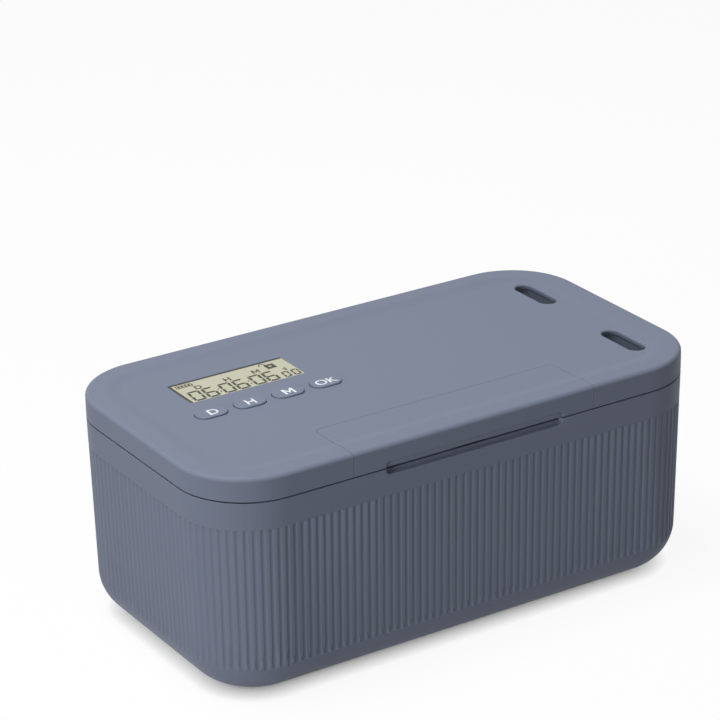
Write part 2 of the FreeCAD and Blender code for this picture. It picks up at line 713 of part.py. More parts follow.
def pierce_panel(lid_form):
    """The lid's outside with the window, the key holes and the slots, and their soft rims."""
    window_outline = rounded_outline("window_outline", "window_long / 2", "window_high / 2",
                                     "window_corner", "ceiling")
    holes = [place(prism("window", window_outline, "panel_thick + 1"), "display_x", "display_y")]
    for i, x in enumerate(key_spots(), start=1):
        outline = pill_outline(f"key_hole_outline_{i}", "key_long / 2 + key_gap",
                               "key_high / 2 + key_gap", "ceiling - 1")
        holes.append(place(prism(f"key_hole_{i}", outline, "panel_thick + 2"), x, "key_row_y"))
    for i, (x, y) in enumerate(SLOTS, start=1):
        outline = pill_outline(f"slot_outline_{i}", "slot_long / 2", "slot_wide / 2", "ceiling - 1",
                               upright=True)
        holes.append(place(prism(f"slot_{i}", outline, "panel_thick + 2"), x, y))
    pierced = cut("lid_pierced", lid_form, *holes)

    def rim(edge):
        return level(edge, "panel_top") and within(edge, "half_length - border - 1.5 * ramp",
                                                   "half_depth - border - 1.5 * ramp")

    slots_start = number("slot_x - slot_wide")
    eased = rounded("lid_slots_eased", pierced, "slot_round",
                    lambda edge: rim(edge) and edge.BoundBox.XMin > slots_start)
    return rounded("lid_rims_eased", eased, "rim_round",
                   lambda edge: rim(edge) and edge.BoundBox.XMax < slots_start)


def make_lid_shell(lid_form):
    hollow_outline = rounded_outline("lid_hollow_outline", "half_length - skirt_wall",
                                     "half_depth - skirt_wall", "plan_corner - skirt_wall",
                                     "lid_low - 1")
    shell = cut("lid_hulled", pierce_panel(lid_form),
                prism("lid_hollow", hollow_outline, "ceiling - lid_low + 1"))
    ledge = box("ledge_block", ("-cover_half - ledge_side", "cover_half + ledge_side"),
                ("cover_front + seat_gap - half_depth", "ledge_width - cover_back + 2"),
                ("ceiling - ledge_thick", "ceiling + 0.6"))
    ledge_hole = box("ledge_hole", ("ledge_side - cover_half", "cover_half - ledge_side"),
                     ("-half_depth", "-cover_back - ledge_width"), ("ceiling - 3", "ceiling + 1"))
    ledge = cut("ledge", ledge, ledge_hole)
    bosses = [rod(f"lid_boss_{i}", "z", "lid_boss_radius", (x, y, "screw_shoulder + boss_gap"),
                  "ceiling + 0.5 - screw_shoulder - boss_gap")
              for i, (x, y) in enumerate(LINER_SCREWS, start=1)]
    bosses += [rod(f"board_boss_{i}", "z", "board_screw_radius + 1.2", (x, y, "board_top"),
                   "ceiling + 0.5 - board_top") for i, (x, y) in enumerate(BOARD_SCREWS, start=1)]
    spans = [(f"{centre} - knuckle_length / 2", f"{centre} + knuckle_length / 2")
             for centre in ("-hinge_x", "hinge_x")]
    arms = knuckles("lid_knuckle", spans, ("lid_low + edge_break", "hinge_z + knuckle_radius"))
    solid = fuse("lid_solid", shell, ledge, *bosses, *arms)

    openings = [cover_prism("cover_opening", "cover_seam", "ceiling - 0.1", "total_height + 1")]
    openings.append(box("cover_front_opening", ("-cover_half - cover_seam", "cover_half + cover_seam"),
                        ("-half_depth - 2", "cover_front + seat_gap - half_depth"),
                        ("lid_low - 1", "total_height")))
    openings.append(box("glass_pocket",
                        ("display_x - glass_long / 2 - glass_gap", "display_x + glass_long / 2 + glass_gap"),
                        ("display_y - glass_high / 2 - glass_gap", "display_y + glass_high / 2 + glass_gap"),
                        ("ceiling - 1", "panel_top - bezel_thick")))
    openings += [rod(f"lid_pilot_{i}", "z", "screw_radius + 0.03", (x, y, "screw_shoulder"),
                     "ceiling - 0.4 - screw_shoulder") for i, (x, y) in enumerate(LINER_SCREWS, start=1)]
    openings += [rod(f"board_pilot_{i}", "z", "board_screw_radius + 0.03", (x, y, "board_top - 1"),
                     "ceiling - board_top") for i, (x, y) in enumerate(BOARD_SCREWS, start=1)]
    return node("lid_shell", cut("lid_shell", solid, *openings, *hinge_bores("lid")))


def make_latch_cover(lid_form):
    """The panel let into the lid's front, over the bolt and the motor."""
    plan = cover_prism("cover_plan", "0", "lid_low - 1", "total_height + 1")
    block = common("cover_block", lid_form, plan)
    under = box("cover_under", ("-cover_half - 1", "cover_half + 1"),
                ("cover_front - half_depth", "1 - cover_back"), ("lid_low - 1", "ceiling"))
    skin = cut("cover_skin", block, under)
    hooks = []
    for i, side in enumerate((-1, 1, -1, 1), start=1):
        face = "cover_half - ledge_side - seat_gap"
        y = "-cover_back - hook_rear" if i < 3 else "-cover_back - hook_front"
        stem_x = (f"{face} - hook_thick", face) if side > 0 else (f"-({face})", f"hook_thick - ({face})")
        catch_x = (stem_x[0], f"{face} + hook_catch") if side > 0 else (f"-({face}) - hook_catch",
                                                                       stem_x[1])
        hooks.append(box(f"hook_stem_{i}", stem_x, (f"{y} - hook_wide / 2", f"{y} + hook_wide / 2"),
                         ("ceiling - ledge_thick - hook_drop", "ceiling + 0.5")))
        hooks.append(box(f"hook_catch_{i}", catch_x, (f"{y} - hook_wide / 2", f"{y} + hook_wide / 2"),
                         ("ceiling - ledge_thick - hook_drop", "ceiling - ledge_thick - seat_gap")))
    return node("latch_cover", fuse("latch_cover", skin, *hooks))


def make_liner():
    """The tray that closes the lid from below, with the lock housing and the battery bay under it."""
    outline = rounded_outline("liner_outline", "half_length - liner_inset", "half_depth - liner_inset",
                              "plan_corner - liner_inset", "liner_low")
    block = prism("liner_block", outline, "liner_high - liner_low")
    notch = box("liner_notch", ("-notch_half", "notch_half"), ("-half_depth", "-pod_front"),
                ("liner_low - 1", "liner_high + 1"))
    block = cut("liner_stepped", block, notch)
    inner = "(liner_inset + liner_wall)"
    tray_outline = rounded_outline("tray_outline", f"half_length - {inner}", f"half_depth - {inner}",
                                   f"plan_corner - {inner}", "liner_floor")
    tray = prism("tray_block", tray_outline, "liner_high")
    keep = box("tray_keep", ("-notch_half - liner_wall", "notch_half + liner_wall"),
               ("-half_depth", "liner_wall - pod_front"), ("liner_low - 2", "2 * liner_high"))
    tray = cut("tray", block, cut("tray_space", tray, keep))

    pod = box("pod_block", ("-pod_left", "pod_right"), ("-pod_front", "-pod_back"),
              ("pod_low", "liner_floor"))
    bay = box("bay_block", ("bay_x - bay_long / 2 - bay_wall", "bay_x + bay_long / 2 + bay_wall"),
              ("bay_y - bay_wide / 2 - bay_wall", "bay_y + bay_wide / 2 + bay_wall"),
              ("door_low", "liner_low + 0.5"))
    chutes = []
    tubes = []
    for i, (x, y) in enumerate(SLOTS, start=1):
        grown = "slot_lip + chute_wall"
        outer = pill_outline(f"chute_outline_{i}", f"slot_long / 2 + {grown}", f"slot_wide / 2 + {grown}",
                             "liner_low", upright=True)
        chutes.append(place(prism(f"chute_{i}", outer, "chute_top - liner_low"), x, y))
        inner_outline = pill_outline(f"chute_hole_outline_{i}", "slot_long / 2 + slot_lip",
                                     "slot_wide / 2 + slot_lip", "liner_low - 1", upright=True)
        tubes.append(place(prism(f"chute_hole_{i}", inner_outline, "chute_top - liner_low + 2"), x, y))
    bosses = [rod(f"liner_boss_{i}", "z", "screw_head + 1.2", (x, y, "liner_low"),
                  "screw_shoulder - liner_low") for i, (x, y) in enumerate(LINER_SCREWS, start=1)]
    solid = fuse("liner_solid", tray, pod, bay, *chutes, *bosses)

    spaces = [box("pod_space", ("pod_wall - pod_left", "pod_right - pod_wall"),
                  ("pod_wall - pod_front", "-pod_back - pod_wall"), ("pod_floor", "liner_floor + 1")),
              box("bay_space", ("bay_x - bay_long / 2", "bay_x + bay_long / 2"),
                  ("bay_y - bay_wide / 2", "bay_y + bay_wide / 2"), ("door_low - 1", "liner_low")),
              box("bolt_slot", ("-bolt_half - bolt_slot_gap", "bolt_half + bolt_slot_gap"),
                  ("-pod_front - 1", "pod_wall + 0.5 - pod_front"),
                  ("bolt_low - bolt_slot_gap", "bolt_top + bolt_slot_gap"))]
    spaces += [rod(f"liner_hole_{i}", "z", "screw_radius + 0.2", (x, y, "liner_low - 1"),
                   "screw_shoulder - liner_low + 2") for i, (x, y) in enumerate(LINER_SCREWS, start=1)]
    spaces += [rod(f"liner_sink_{i}", "z", "screw_head + 0.3", (x, y, "liner_low - 1"),
                   "screw_seat - liner_low + 1") for i, (x, y) in enumerate(LINER_SCREWS, start=1)]
    spaces += [rod(f"door_socket_{i}", "x", "door_stub + pin_clearance",
                   (start, "door_axis_y", "door_axis_z"), "1.3")
               for i, start in enumerate(("bay_x - bay_long / 2 - 1.2", "bay_x + bay_long / 2 - 0.1"),
                                         start=1)]
    spaces += [rod(f"guide_pilot_{i}", "z", "small_screw + 0.02", (x, "-shaft_y", "pod_low + 0.4"), "2")
               for i, x in enumerate(("-guide_screw_x", "guide_screw_x"), start=1)]
    spaces += [box(f"tab_slot_{i}", (f"({x}) - 0.4", f"({x}) + 0.4"), (f"({y}) - 1.4", f"({y}) + 1.4"),
                   ("liner_low - 0.5", "liner_floor + 1")) for i, (x, y) in enumerate(TAB_SPOTS, start=1)]
    return node("lid_liner", cut("lid_liner", solid, *tubes, *spaces))


def make_screws(name, spots, radius, head, head_thick, seat, length):
    """Pan-head screws driven upwards: the head hangs below its seat."""
    screws = []
    for i, (x, y) in enumerate(spots, start=1):
        shank = rod(f"{name}_shank_{i}", "z", radius, (x, y, seat), length)
        cap = rod(f"{name}_cap_{i}", "z", head, (x, y, f"{seat} - {head_thick}"), head_thick)
        cross = [box(f"{name}_cross_{i}{letter}", (f"{x} - ({a})", f"{x} + ({a})"),
                     (f"{y} - ({b})", f"{y} + ({b})"),
                     (f"{seat} - {head_thick} - 1", f"{seat} - {head_thick} * 0.5"))
                 for letter, a, b in (("a", f"{head} * 0.55", "0.25"), ("b", "0.25", f"{head} * 0.55"))]
        screws.append(cut(f"{name}_{i}", fuse(f"{name}_form_{i}", shank, cap), *cross))
    return node(name, group(name, *screws))


# ---------------------------------------------------------------- timer
def make_display():
    node("lcd_glass", box("lcd_glass", ("display_x - glass_long / 2", "display_x + glass_long / 2"),
                          ("display_y - glass_high / 2", "display_y + glass_high / 2"),
                          ("glass_low_z", "glass_high_z")))
    frame = box("frame_block", ("display_x - glass_long / 2", "display_x + glass_long / 2"),
                ("display_y - glass_high / 2", "display_y + glass_high / 2"),
                ("board_top", "glass_low_z - 0.05"))
    well = box("frame_well", ("display_x - glass_long / 2 + 4", "display_x + glass_long / 2 - 4"),
               ("display_y - glass_high / 2 + 5", "display_y + glass_high / 2 - 5"),
               ("board_top + 1.2", "glass_low_z + 1"))
    slots = []
    strips = []
    for i, side in enumerate((-1, 1), start=1):
        middle = f"display_y + {side} * (glass_high / 2 - strip_wide / 2 - 1)"
        slots.append(box(f"strip_slot_{i}", ("display_x - glass_long / 2 + 3",
                                             "display_x + glass_long / 2 - 3"),
                         (f"{middle} - strip_wide / 2 - 0.1", f"{middle} + strip_wide / 2 + 0.1"),
                         ("board_top - 1", "glass_low_z + 1")))
        strips.append(box(f"strip_{i}", ("display_x - glass_long / 2 + 3.2",
                                         "display_x + glass_long / 2 - 3.2"),
                          (f"{middle} - strip_wide / 2", f"{middle} + strip_wide / 2"),
                          ("board_top", "glass_low_z")))
    node("lcd_frame", cut("lcd_frame", frame, well, *slots))
    node("contact_strips", group("contact_strips", *strips))


def make_board():
    board = box("board_block", ("board_x - board_long / 2", "board_x + board_long / 2"),
                ("board_y - board_high / 2", "board_y + board_high / 2"), ("board_low", "board_top"))
    holes = [rod(f"board_hole_{i}", "z", "board_screw_radius + 0.1", (x, y, "board_low - 1"),
                 "board_thick + 2") for i, (x, y) in enumerate(BOARD_SCREWS, start=1)]
    node("circuit_board", cut("circuit_board", board, *holes))
    make_screws("board_screws", BOARD_SCREWS, "board_screw_radius", "board_screw_radius * 1.9", "1.1",
                "board_low", "4.8")
    node("controller_chip", box("controller_chip", ("board_x + 2", "board_x + 12"),
                                ("board_y - 5", "board_y + 5"), ("board_low - 1.5", "board_low")))
    switches = []
    for i, x in enumerate(key_spots(), start=1):
        case = box(f"switch_case_{i}", (f"{x} - switch_side / 2", f"{x} + switch_side / 2"),
                   ("key_row_y - switch_side / 2", "key_row_y + switch_side / 2"),
                   ("board_top", "switch_top"))
        well = rod(f"switch_well_{i}", "z", "plunger_radius + pin_clearance",
                   (x, "key_row_y", "plunger_low - key_travel - 0.1"), "switch_high")
        switches.append(cut(f"switch_body_{i}", case, well))
    node("switch_bodies", group("switch_bodies", *switches))
    spot = ("board_x + board_long / 2 - sounder_radius - 0.8", "board_y + 4")
    case = rod("sounder_case", "z", "sounder_radius", (*spot, "board_top"), "sounder_high")
    hole = rod("sounder_port", "z", "sounder_hole", (*spot, "board_top + sounder_high / 2"), "sounder_high")
    node("sounder", cut("sounder", case, hole))


def make_reed():
    """The lid sensor: a glass reed over the tub's magnet, wired to the board's left edge."""
    z = "liner_floor + reed_radius"
    node("reed_switch", rod("reed_switch", "x", "reed_radius", ("magnet_x + 1.4", "0", z), "reed_long"))
    end = "board_x - board_long / 2 + 2"
    under = "board_low - reed_wire_radius - 0.02"
    near_wire = [("magnet_x + 1.4 + reed_long", "0", z), (f"{end} - 6", "0", z), (f"{end} - 3", "0", under),
                 (end, "0", under)]
    far_wire = [("magnet_x + 1.4", "0", z), ("magnet_x - 0.4", "0", z), ("magnet_x - 0.4", "3", z),
                ("magnet_x + 6", "3.4", z), (f"{end} - 5", "3.4", z), (f"{end} - 2.5", "3.4", under),
                (end, "3.4", under)]
    node("reed_wires", group("reed_wires", wire("reed_wire_1", near_wire, "reed_wire_radius"),
                             wire("reed_wire_2", far_wire, "reed_wire_radius")))


def make_motor_wires():
    """Two leads from the motor's tabs, over the liner's floor, to the underside of the board."""
    z = "board_low - wire_radius - 0.02"
    edge = "board_x + board_long / 2"
    wires = []
    for i, (side, spread) in enumerate(((1, 0), (-1, 1)), start=1):
        start_y = f"{side} * 4 - shaft_y"
        points = [("motor_back + 2", start_y, "shaft_z"),
                  (f"motor_back + 6 + 2 * {spread}", start_y, f"({z}) + 0.3"),
                  (f"motor_back + 10 + 3 * {spread}", f"12 - shaft_y - 2 * {spread}", z),
                  (f"motor_back + {spread}", f"23 - shaft_y + 2 * {spread}", z),
                  (f"(3 * motor_back + 2 * ({edge})) / 5 + {spread}", f"31 - shaft_y + 2.6 * {spread}", z),
                  (f"(motor_back + 4 * ({edge})) / 5", f"36 - shaft_y + 2.8 * {spread}", z),
                  (f"{edge} - 9", f"46 - shaft_y + 2.8 * {spread}", z)]
        wires.append(wire(f"motor_wire_{i}", points, "wire_radius"))
    node("motor_wires", group("motor_wires", *wires))


KEYS = ("days", "hours", "minutes", "ok")


def make_keys():
    for word, x in zip(KEYS, key_spots()):
        cap_outline = pill_outline(f"cap_outline_{word}", "key_long / 2", "key_high / 2", "flange_low")
        cap = prism(f"cap_{word}", cap_outline, "key_top - flange_low")
        cap = rounded(f"cap_round_{word}", cap, "key_round", lambda edge: level(edge, "key_top"))
        flange_outline = pill_outline(f"flange_outline_{word}", "key_long / 2 + key_flange",
                                      "key_high / 2 + key_flange", "flange_low")
        flange = prism(f"flange_{word}", flange_outline, "key_flange_thick")
        stem = rod(f"stem_{word}", "z", "plunger_radius + 0.3", ("0", "0", "plunger_top"),
                   "flange_low - plunger_top + 0.2")
        key = fuse(f"key_{word}", cap, flange, stem)
        node(f"key_{word}", place(key, x, "key_row_y"))
        node(f"plunger_{word}", rod(f"plunger_{word}", "z", "plunger_radius",
                                    (x, "key_row_y", "plunger_low"), "plunger_top - plunger_low"))


# ---------------------------------------------------------------- wires
def wire(name, route, radius):
    """A round wire along straight runs joined by tangent arcs."""
    points = [Vector(*(number(text) for text in point)) for point in route]
    radius = number(radius)
    edges, start = [], points[0]
    for before, corner, after in zip(points, points[1:], points[2:]):
        inward, outward = (corner - before), (after - corner)
        reach = 0.45 * min(inward.Length, outward.Length)
        inward.normalize()
        outward.normalize()
        half_turn = inward.getAngle(outward) / 2
        bend = reach / math.tan(half_turn)
        side = (outward - inward).normalize()
        middle = corner + side * (bend / math.cos(half_turn) - bend)
        entry, leave = corner - inward * reach, corner + outward * reach
        edges.append(Part.LineSegment(start, entry).toShape())
        edges.append(Part.Arc(entry, middle, leave).toShape())
        start = leave
    edges.append(Part.LineSegment(start, points[-1]).toShape())
    path = Part.Wire(edges)
    section = Part.Wire([Part.Circle(points[0], points[1] - points[0], radius).toShape()])
    tube = path.makePipeShell([section], True, False)
    if abs(tube.Volume / (math.pi * radius ** 2 * path.Length) - 1) > 0.02:
        raise RuntimeError(f"{name}: the wire's volume doesn't match its length")
    thing = doc.addObject("Part::Feature", name)
    thing.Shape = tube
    return thing


# ---------------------------------------------------------------- lock
def polygon_solid(name, points, direction, depth):
    """A flat outline pushed into a solid, for toothed shapes."""
    corners = [Vector(*point) for point in points]
    face = Part.Face(Part.makePolygon(corners + corners[:1]))
    thing = doc.addObject("Part::Feature", name)
    thing.Shape = face.extrude(Vector(*direction) * depth)
    return thing


def make_bolt():
    """A flat bolt with a rack along its top, drawn back behind the liner's front."""
    plate = box("bolt_plate", ("-bolt_half", "bolt_half"), ("-bolt_tip", "-bolt_tail"),
                ("bolt_low", "bolt_top"))
    pitch = math.pi * number("gear_module")
    root, tip = number("gear_dedendum"), number("gear_addendum")
    half, lean = number("tooth_thick") / 2, math.tan(math.radians(20))
    base_z, x = number("bolt_top"), -number("pinion_half")
    teeth = []
    for step in range(int(number("rack_teeth"))):
        y = -number("shaft_y") + (step - 0.5) * pitch
        wide, narrow = half + root * lean, half - tip * lean
        outline = [(x, y - wide, base_z - 0.5), (x, y - wide, base_z), (x, y - narrow, base_z + root + tip),
                   (x, y + narrow, base_z + root + tip), (x, y + wide, base_z),
                   (x, y + wide, base_z - 0.5)]
        teeth.append(polygon_solid(f"rack_tooth_{step + 1}", outline, (1, 0, 0),
                                   2 * number("pinion_half")))
    blunt = rounded("bolt_blunt", plate, "0.6",
                    lambda edge: near(edge.BoundBox.YLength, 0)
                    and near(edge.BoundBox.YMin, -number("bolt_tip")))
    node("lock_bolt", fuse("lock_bolt", blunt, *teeth))


def make_drive():
    teeth = int(number("pinion_teeth"))
    radius = number("gear_module") * teeth / 2
    root, tip = radius - number("gear_dedendum"), radius + number("gear_addendum")
    at_pitch = number("tooth_thick") / 2 / radius
    axis_y, axis_z = -number("shaft_y"), number("shaft_z")
    points = []
    for step in range(teeth):
        middle = -math.pi / 2 + step * 2 * math.pi / teeth
        for reach, spread in ((root, -1.5), (radius, -1.0), (tip, -0.55), (tip, 0.55), (radius, 1.0),
                              (root, 1.5)):
            angle = middle + spread * at_pitch
            points.append((-number("pinion_half"), axis_y + reach * math.cos(angle),
                           axis_z + reach * math.sin(angle)))
    wheel = polygon_solid("pinion_teeth_form", points, (1, 0, 0), 2 * number("pinion_half"))
    bore = rod("pinion_bore", "x", "shaft_radius", ("-pinion_half - 1", "-shaft_y", "shaft_z"),
               "2 * pinion_half + 2")
    node("drive_pinion", cut("drive_pinion", wheel, bore))
    node("drive_shaft", rod("drive_shaft", "x", "shaft_radius",
                            ("-pinion_half - 0.5", "-shaft_y", "shaft_z"),
                            "pinion_half + gearbox_face + 3.5"))


POD_INSIDE = ("pod_wall + seat_gap - pod_front", "-pod_back - pod_wall - seat_gap")


def motor_form(name, x_low, x_high, grow="0"):
    """The motor can: a round can with two flats."""
    can = rod(f"{name}_round", "x", f"motor_wide / 2 + {grow}", (x_low, "-shaft_y", "shaft_z"),
              f"({x_high}) - ({x_low})")
    flats = box(f"{name}_flats", (x_low, x_high),
                (f"-shaft_y - motor_wide / 2 - 1 - {grow}", f"1 + {grow} + motor_wide / 2 - shaft_y"),
                (f"shaft_z - motor_high / 2 - {grow}", f"shaft_z + motor_high / 2 + {grow}"))
    return common(name, can, flats)


def make_motor():
    gearbox = box("gearbox_block", ("gearbox_face", "motor_face"),
                  ("-shaft_y - motor_wide / 2", "motor_wide / 2 - shaft_y"),
                  ("shaft_z - motor_high / 2", "shaft_z + motor_high / 2"))
    bearing = rod("gearbox_bearing", "x", "shaft_radius + pin_clearance",
                  ("gearbox_face - 1", "-shaft_y", "shaft_z"), "4.2")
    node("motor_gearbox", cut("motor_gearbox", gearbox, bearing))
    boss = rod("motor_end_boss", "x", "2", ("motor_back - 0.5", "-shaft_y", "shaft_z"), "1.3")
    tabs = [box(f"motor_tab_{i}", ("motor_back - 0.5", "motor_back + 2"),
                (f"{side} * 4 - shaft_y - 1", f"{side} * 4 - shaft_y + 1"),
                ("shaft_z - 0.2", "shaft_z + 0.2")) for i, side in enumerate((-1, 1), start=1)]
    can = motor_form("motor_body", "motor_face", "motor_back")
    node("lock_motor", fuse("lock_motor", can, boss, *tabs))

    front, back = POD_INSIDE
    left, right = "motor_face + cradle_margin", "motor_back - cradle_margin"
    cradle = box("cradle_block", (left, right), (front, back), ("pod_floor", "pod_floor + cradle_high"))
    seat = motor_form("cradle_seat", f"{left} - 1", f"{right} + 1", "0.05")
    slot = box("cradle_slot", (f"{left} + 0.8", f"{right} - 0.8"),
               ("-shaft_y - motor_wide / 2 - strap_thick - 0.3", "-shaft_y - motor_wide / 2 - 0.1"),
               ("pod_floor + cradle_high - 3", "pod_floor + cradle_high + 1"))
    screw_y = "motor_wide / 2 - shaft_y + 2.2"
    middle = "(motor_face + motor_back) / 2"
    pilot = rod("cradle_pilot", "z", "small_screw + 0.02",
                (middle, screw_y, "pod_floor + cradle_high - 4"), "5")
    node("motor_cradle", cut("motor_cradle", cradle, seat, slot, pilot))

    top = "shaft_z + motor_high / 2 + 0.03"
    ear = "pod_floor + cradle_high"
    strap_x = (f"{left} + 1", f"{right} - 1")
    bridge = box("strap_bridge", strap_x,
                 ("-shaft_y - motor_wide / 2 - strap_thick - 0.15",
                  "motor_wide / 2 - shaft_y + strap_thick + 0.15"), (top, f"{top} + strap_thick"))
    front_leg = box("strap_front_leg", strap_x,
                    ("-shaft_y - motor_wide / 2 - strap_thick - 0.15", "-shaft_y - motor_wide / 2 - 0.15"),
                    (f"{ear} - 2.5", f"{top} + strap_thick / 2"))
    rear_leg = box("strap_rear_leg", strap_x,
                   ("motor_wide / 2 - shaft_y + 0.15", "motor_wide / 2 - shaft_y + 0.15 + strap_thick"),
                   (ear, f"{top} + strap_thick / 2"))
    foot = box("strap_foot", strap_x, ("motor_wide / 2 - shaft_y + 0.15", back),
               (ear, f"{ear} + strap_thick"))
    hole = rod("strap_hole", "z", "small_screw + 0.1", (middle, screw_y, f"{ear} - 1"), "3")
    node("motor_strap", cut("motor_strap", fuse("strap_form", bridge, front_leg, rear_leg, foot), hole))
    shank = rod("strap_screw_shank", "z", "small_screw", (middle, screw_y, f"{ear} - 3.5"),
                "3.5 + strap_thick")
    cap = rod("strap_screw_cap", "z", "small_head * 0.75", (middle, screw_y, f"{ear} + strap_thick"),
              "0.9")
    node("strap_screw", fuse("strap_screw", shank, cap))


def make_guide():
    """The channel that the bolt slides in, with a bridge over its front."""
    front, back = POD_INSIDE
    base = box("guide_plate", ("-guide_half", "guide_half"), (front, back),
               ("pod_floor", "pod_floor + guide_base"))
    near_x, far_x = "bolt_half + bolt_fit", "bolt_half + bolt_fit + guide_wall"
    tall = ("pod_floor", "bolt_top - 0.3")
    walls = [box("guide_left", (f"-({far_x})", f"-({near_x})"), (front, back), tall),
             box("guide_right", (near_x, far_x), (front, back), tall)]
    tooth_tip = "bolt_top + gear_dedendum + gear_addendum"
    posts = [box("guide_post_left", (f"-({far_x})", f"-({near_x})"), (front, f"{front} + bridge_deep"),
                 ("pod_floor", f"{tooth_tip} + 1.2")),
             box("guide_post_right", (near_x, far_x), (front, f"{front} + bridge_deep"),
                 ("pod_floor", f"{tooth_tip} + 1.2"))]
    bridge = box("guide_bridge", (f"-({far_x})", far_x), (front, f"{front} + bridge_deep"),
                 (f"{tooth_tip} + 0.2", f"{tooth_tip} + 1.2"))
    bed = box("guide_bed", ("-bolt_half - bolt_fit - 0.5", "bolt_half + bolt_fit + 0.5"), (front, back),
              ("pod_floor", "bolt_low - 0.06"))
    holes = [rod(f"guide_hole_{i}", "z", "small_screw + 0.1", (x, "-shaft_y", "pod_floor - 1"), "4")
             for i, x in enumerate(("-guide_screw_x", "guide_screw_x"), start=1)]
    node("bolt_guide", cut("bolt_guide", fuse("guide_form", base, bed, *walls, *posts, bridge), *holes))
    screws = []
    for i, x in enumerate(("-guide_screw_x", "guide_screw_x"), start=1):
        shank = rod(f"guide_shank_{i}", "z", "small_screw", (x, "-shaft_y", "pod_low + 0.5"),
                    "pod_wall + guide_base - 0.5")
        cap = rod(f"guide_cap_{i}", "z", "small_head", (x, "-shaft_y", "pod_floor + guide_base"), "1")
        screws.append(fuse(f"guide_screw_{i}", shank, cap))
    node("guide_screws", group("guide_screws", *screws))


# ---------------------------------------------------------------- batteries
# Row of each cell, and +1 where its raised end points to +X.
CELLS = ((-1, 1), (0, -1), (1, 1))
BAY_LEFT, BAY_RIGHT = "(bay_x - bay_long / 2)", "(bay_x + bay_long / 2)"


def make_cells():
    for i, (row, way) in enumerate(CELLS, start=1):
        y = f"bay_y + {row} * cell_pitch"
        if way > 0:
            can_start = f"{BAY_RIGHT} - contact_thick - cell_gap - nub_long - cell_long"
            nub_start = f"{BAY_RIGHT} - contact_thick - cell_gap - nub_long - 0.5"
        else:
            can_start = f"{BAY_LEFT} + contact_thick + cell_gap + nub_long"
            nub_start = f"{BAY_LEFT} + contact_thick + cell_gap"
        can = rod(f"cell_can_{i}", "x", "cell_radius", (can_start, y, "cell_z"), "cell_long")
        nub = rod(f"cell_nub_{i}", "x", "nub_radius", (nub_start, y, "cell_z"), "nub_long + 0.5")
        node(f"battery_{i}", fuse(f"battery_{i}", can, nub))


def make_contacts():
    """Two end plates with tabs that reach the board, and two plates that bridge neighbours."""
    ends = {"left": (BAY_LEFT, f"{BAY_LEFT} + contact_thick"),
            "right": (f"{BAY_RIGHT} - contact_thick", BAY_RIGHT)}
    plates = []
    for name, end, low_row, high_row in (("minus", "left", 1, 1), ("left_bridge", "left", -1, 0),
                                         ("right_bridge", "right", 0, 1), ("plus", "right", -1, -1)):
        plate = box(f"contact_{name}", ends[end],
                    (f"bay_y + {low_row} * cell_pitch - contact_half",
                     f"bay_y + {high_row} * cell_pitch + contact_half"),
                    ("cell_z - contact_half", "cell_z + contact_half"))
        if low_row == high_row:
            tab = box(f"contact_tab_{name}", ends[end],
                      (f"bay_y + {low_row} * cell_pitch - 1.2", f"bay_y + {low_row} * cell_pitch + 1.2"),
                      ("cell_z + 3", "board_low"))
            plate = fuse(f"contact_{name}_tabbed", plate, tab)
        plates.append(plate)
    node("battery_contacts", group("battery_contacts", *plates))
    springs = [make_spring(i, row, way) for i, (row, way) in enumerate(CELLS, start=1)]
    node("battery_springs", group("battery_springs", *springs))


def make_spring(i, row, way):
    """A round coil spring between a contact and a cell's flat end."""
    room = number("bay_long - cell_long - nub_long - 2 * contact_thick - cell_gap - spring_wire") - 0.1
    start = number(f"bay_x - {way} * (bay_long / 2 - contact_thick - spring_wire / 2 - 0.05)")
    middle_y, middle_z = number(f"bay_y + {row} * cell_pitch"), number("cell_z")
    radius, steps = number("spring_radius"), 8 * int(number("spring_coils"))
    route = []
    for step in range(steps + 1):
        angle = step * math.pi / 4
        route.append((start + way * room * step / steps, middle_y + radius * math.cos(angle),
                      middle_z + radius * math.sin(angle)))
    return wire(f"spring_{i}", route, "spring_wire / 2")


def make_door():
    """The battery door: a plate with a round rear edge that turns on two short stubs."""
    x = ("bay_x - bay_long / 2 + door_gap", "bay_x + bay_long / 2 - door_gap")
    plate = box("door_plate", x, ("bay_y - bay_wide / 2 + door_gap", "door_axis_y"),
                ("door_low", "door_top"))
    edge = rod("door_edge", "x", "door_thick / 2", (x[0], "door_axis_y", "door_axis_z"),
               f"({x[1]}) - ({x[0]})")
    stubs = rod("door_stubs", "x", "door_stub", (f"{x[0]} - 1.3", "door_axis_y", "door_axis_z"),
                f"({x[1]}) - ({x[0]}) + 2.6")
    grip = box("door_grip", ("bay_x - 7", "bay_x + 7"),
               ("bay_y - bay_wide / 2 + 3", "bay_y - bay_wide / 2 + 4.6"),
               ("door_low - 1", "door_low + 0.6"))
    node("battery_door", cut("battery_door", fuse("door_form", plate, edge, stubs), grip))


# ---------------------------------------------------------------- build
make_tub()
make_tub_fittings()
make_strike_plate()
lid_form = make_lid_form()
make_lid_shell(lid_form)
make_latch_cover(lid_form)
make_liner()
make_screws("liner_screws", LINER_SCREWS, "screw_radius", "screw_head", "screw_head_thick",
            "screw_seat", "ceiling - 0.8 - screw_seat")
make_display()
make_board()
make_keys()
make_bolt()
make_drive()
make_motor()
make_guide()
make_cells()
make_contacts()
make_door()
make_reed()
make_motor_wires()
doc.recompute()

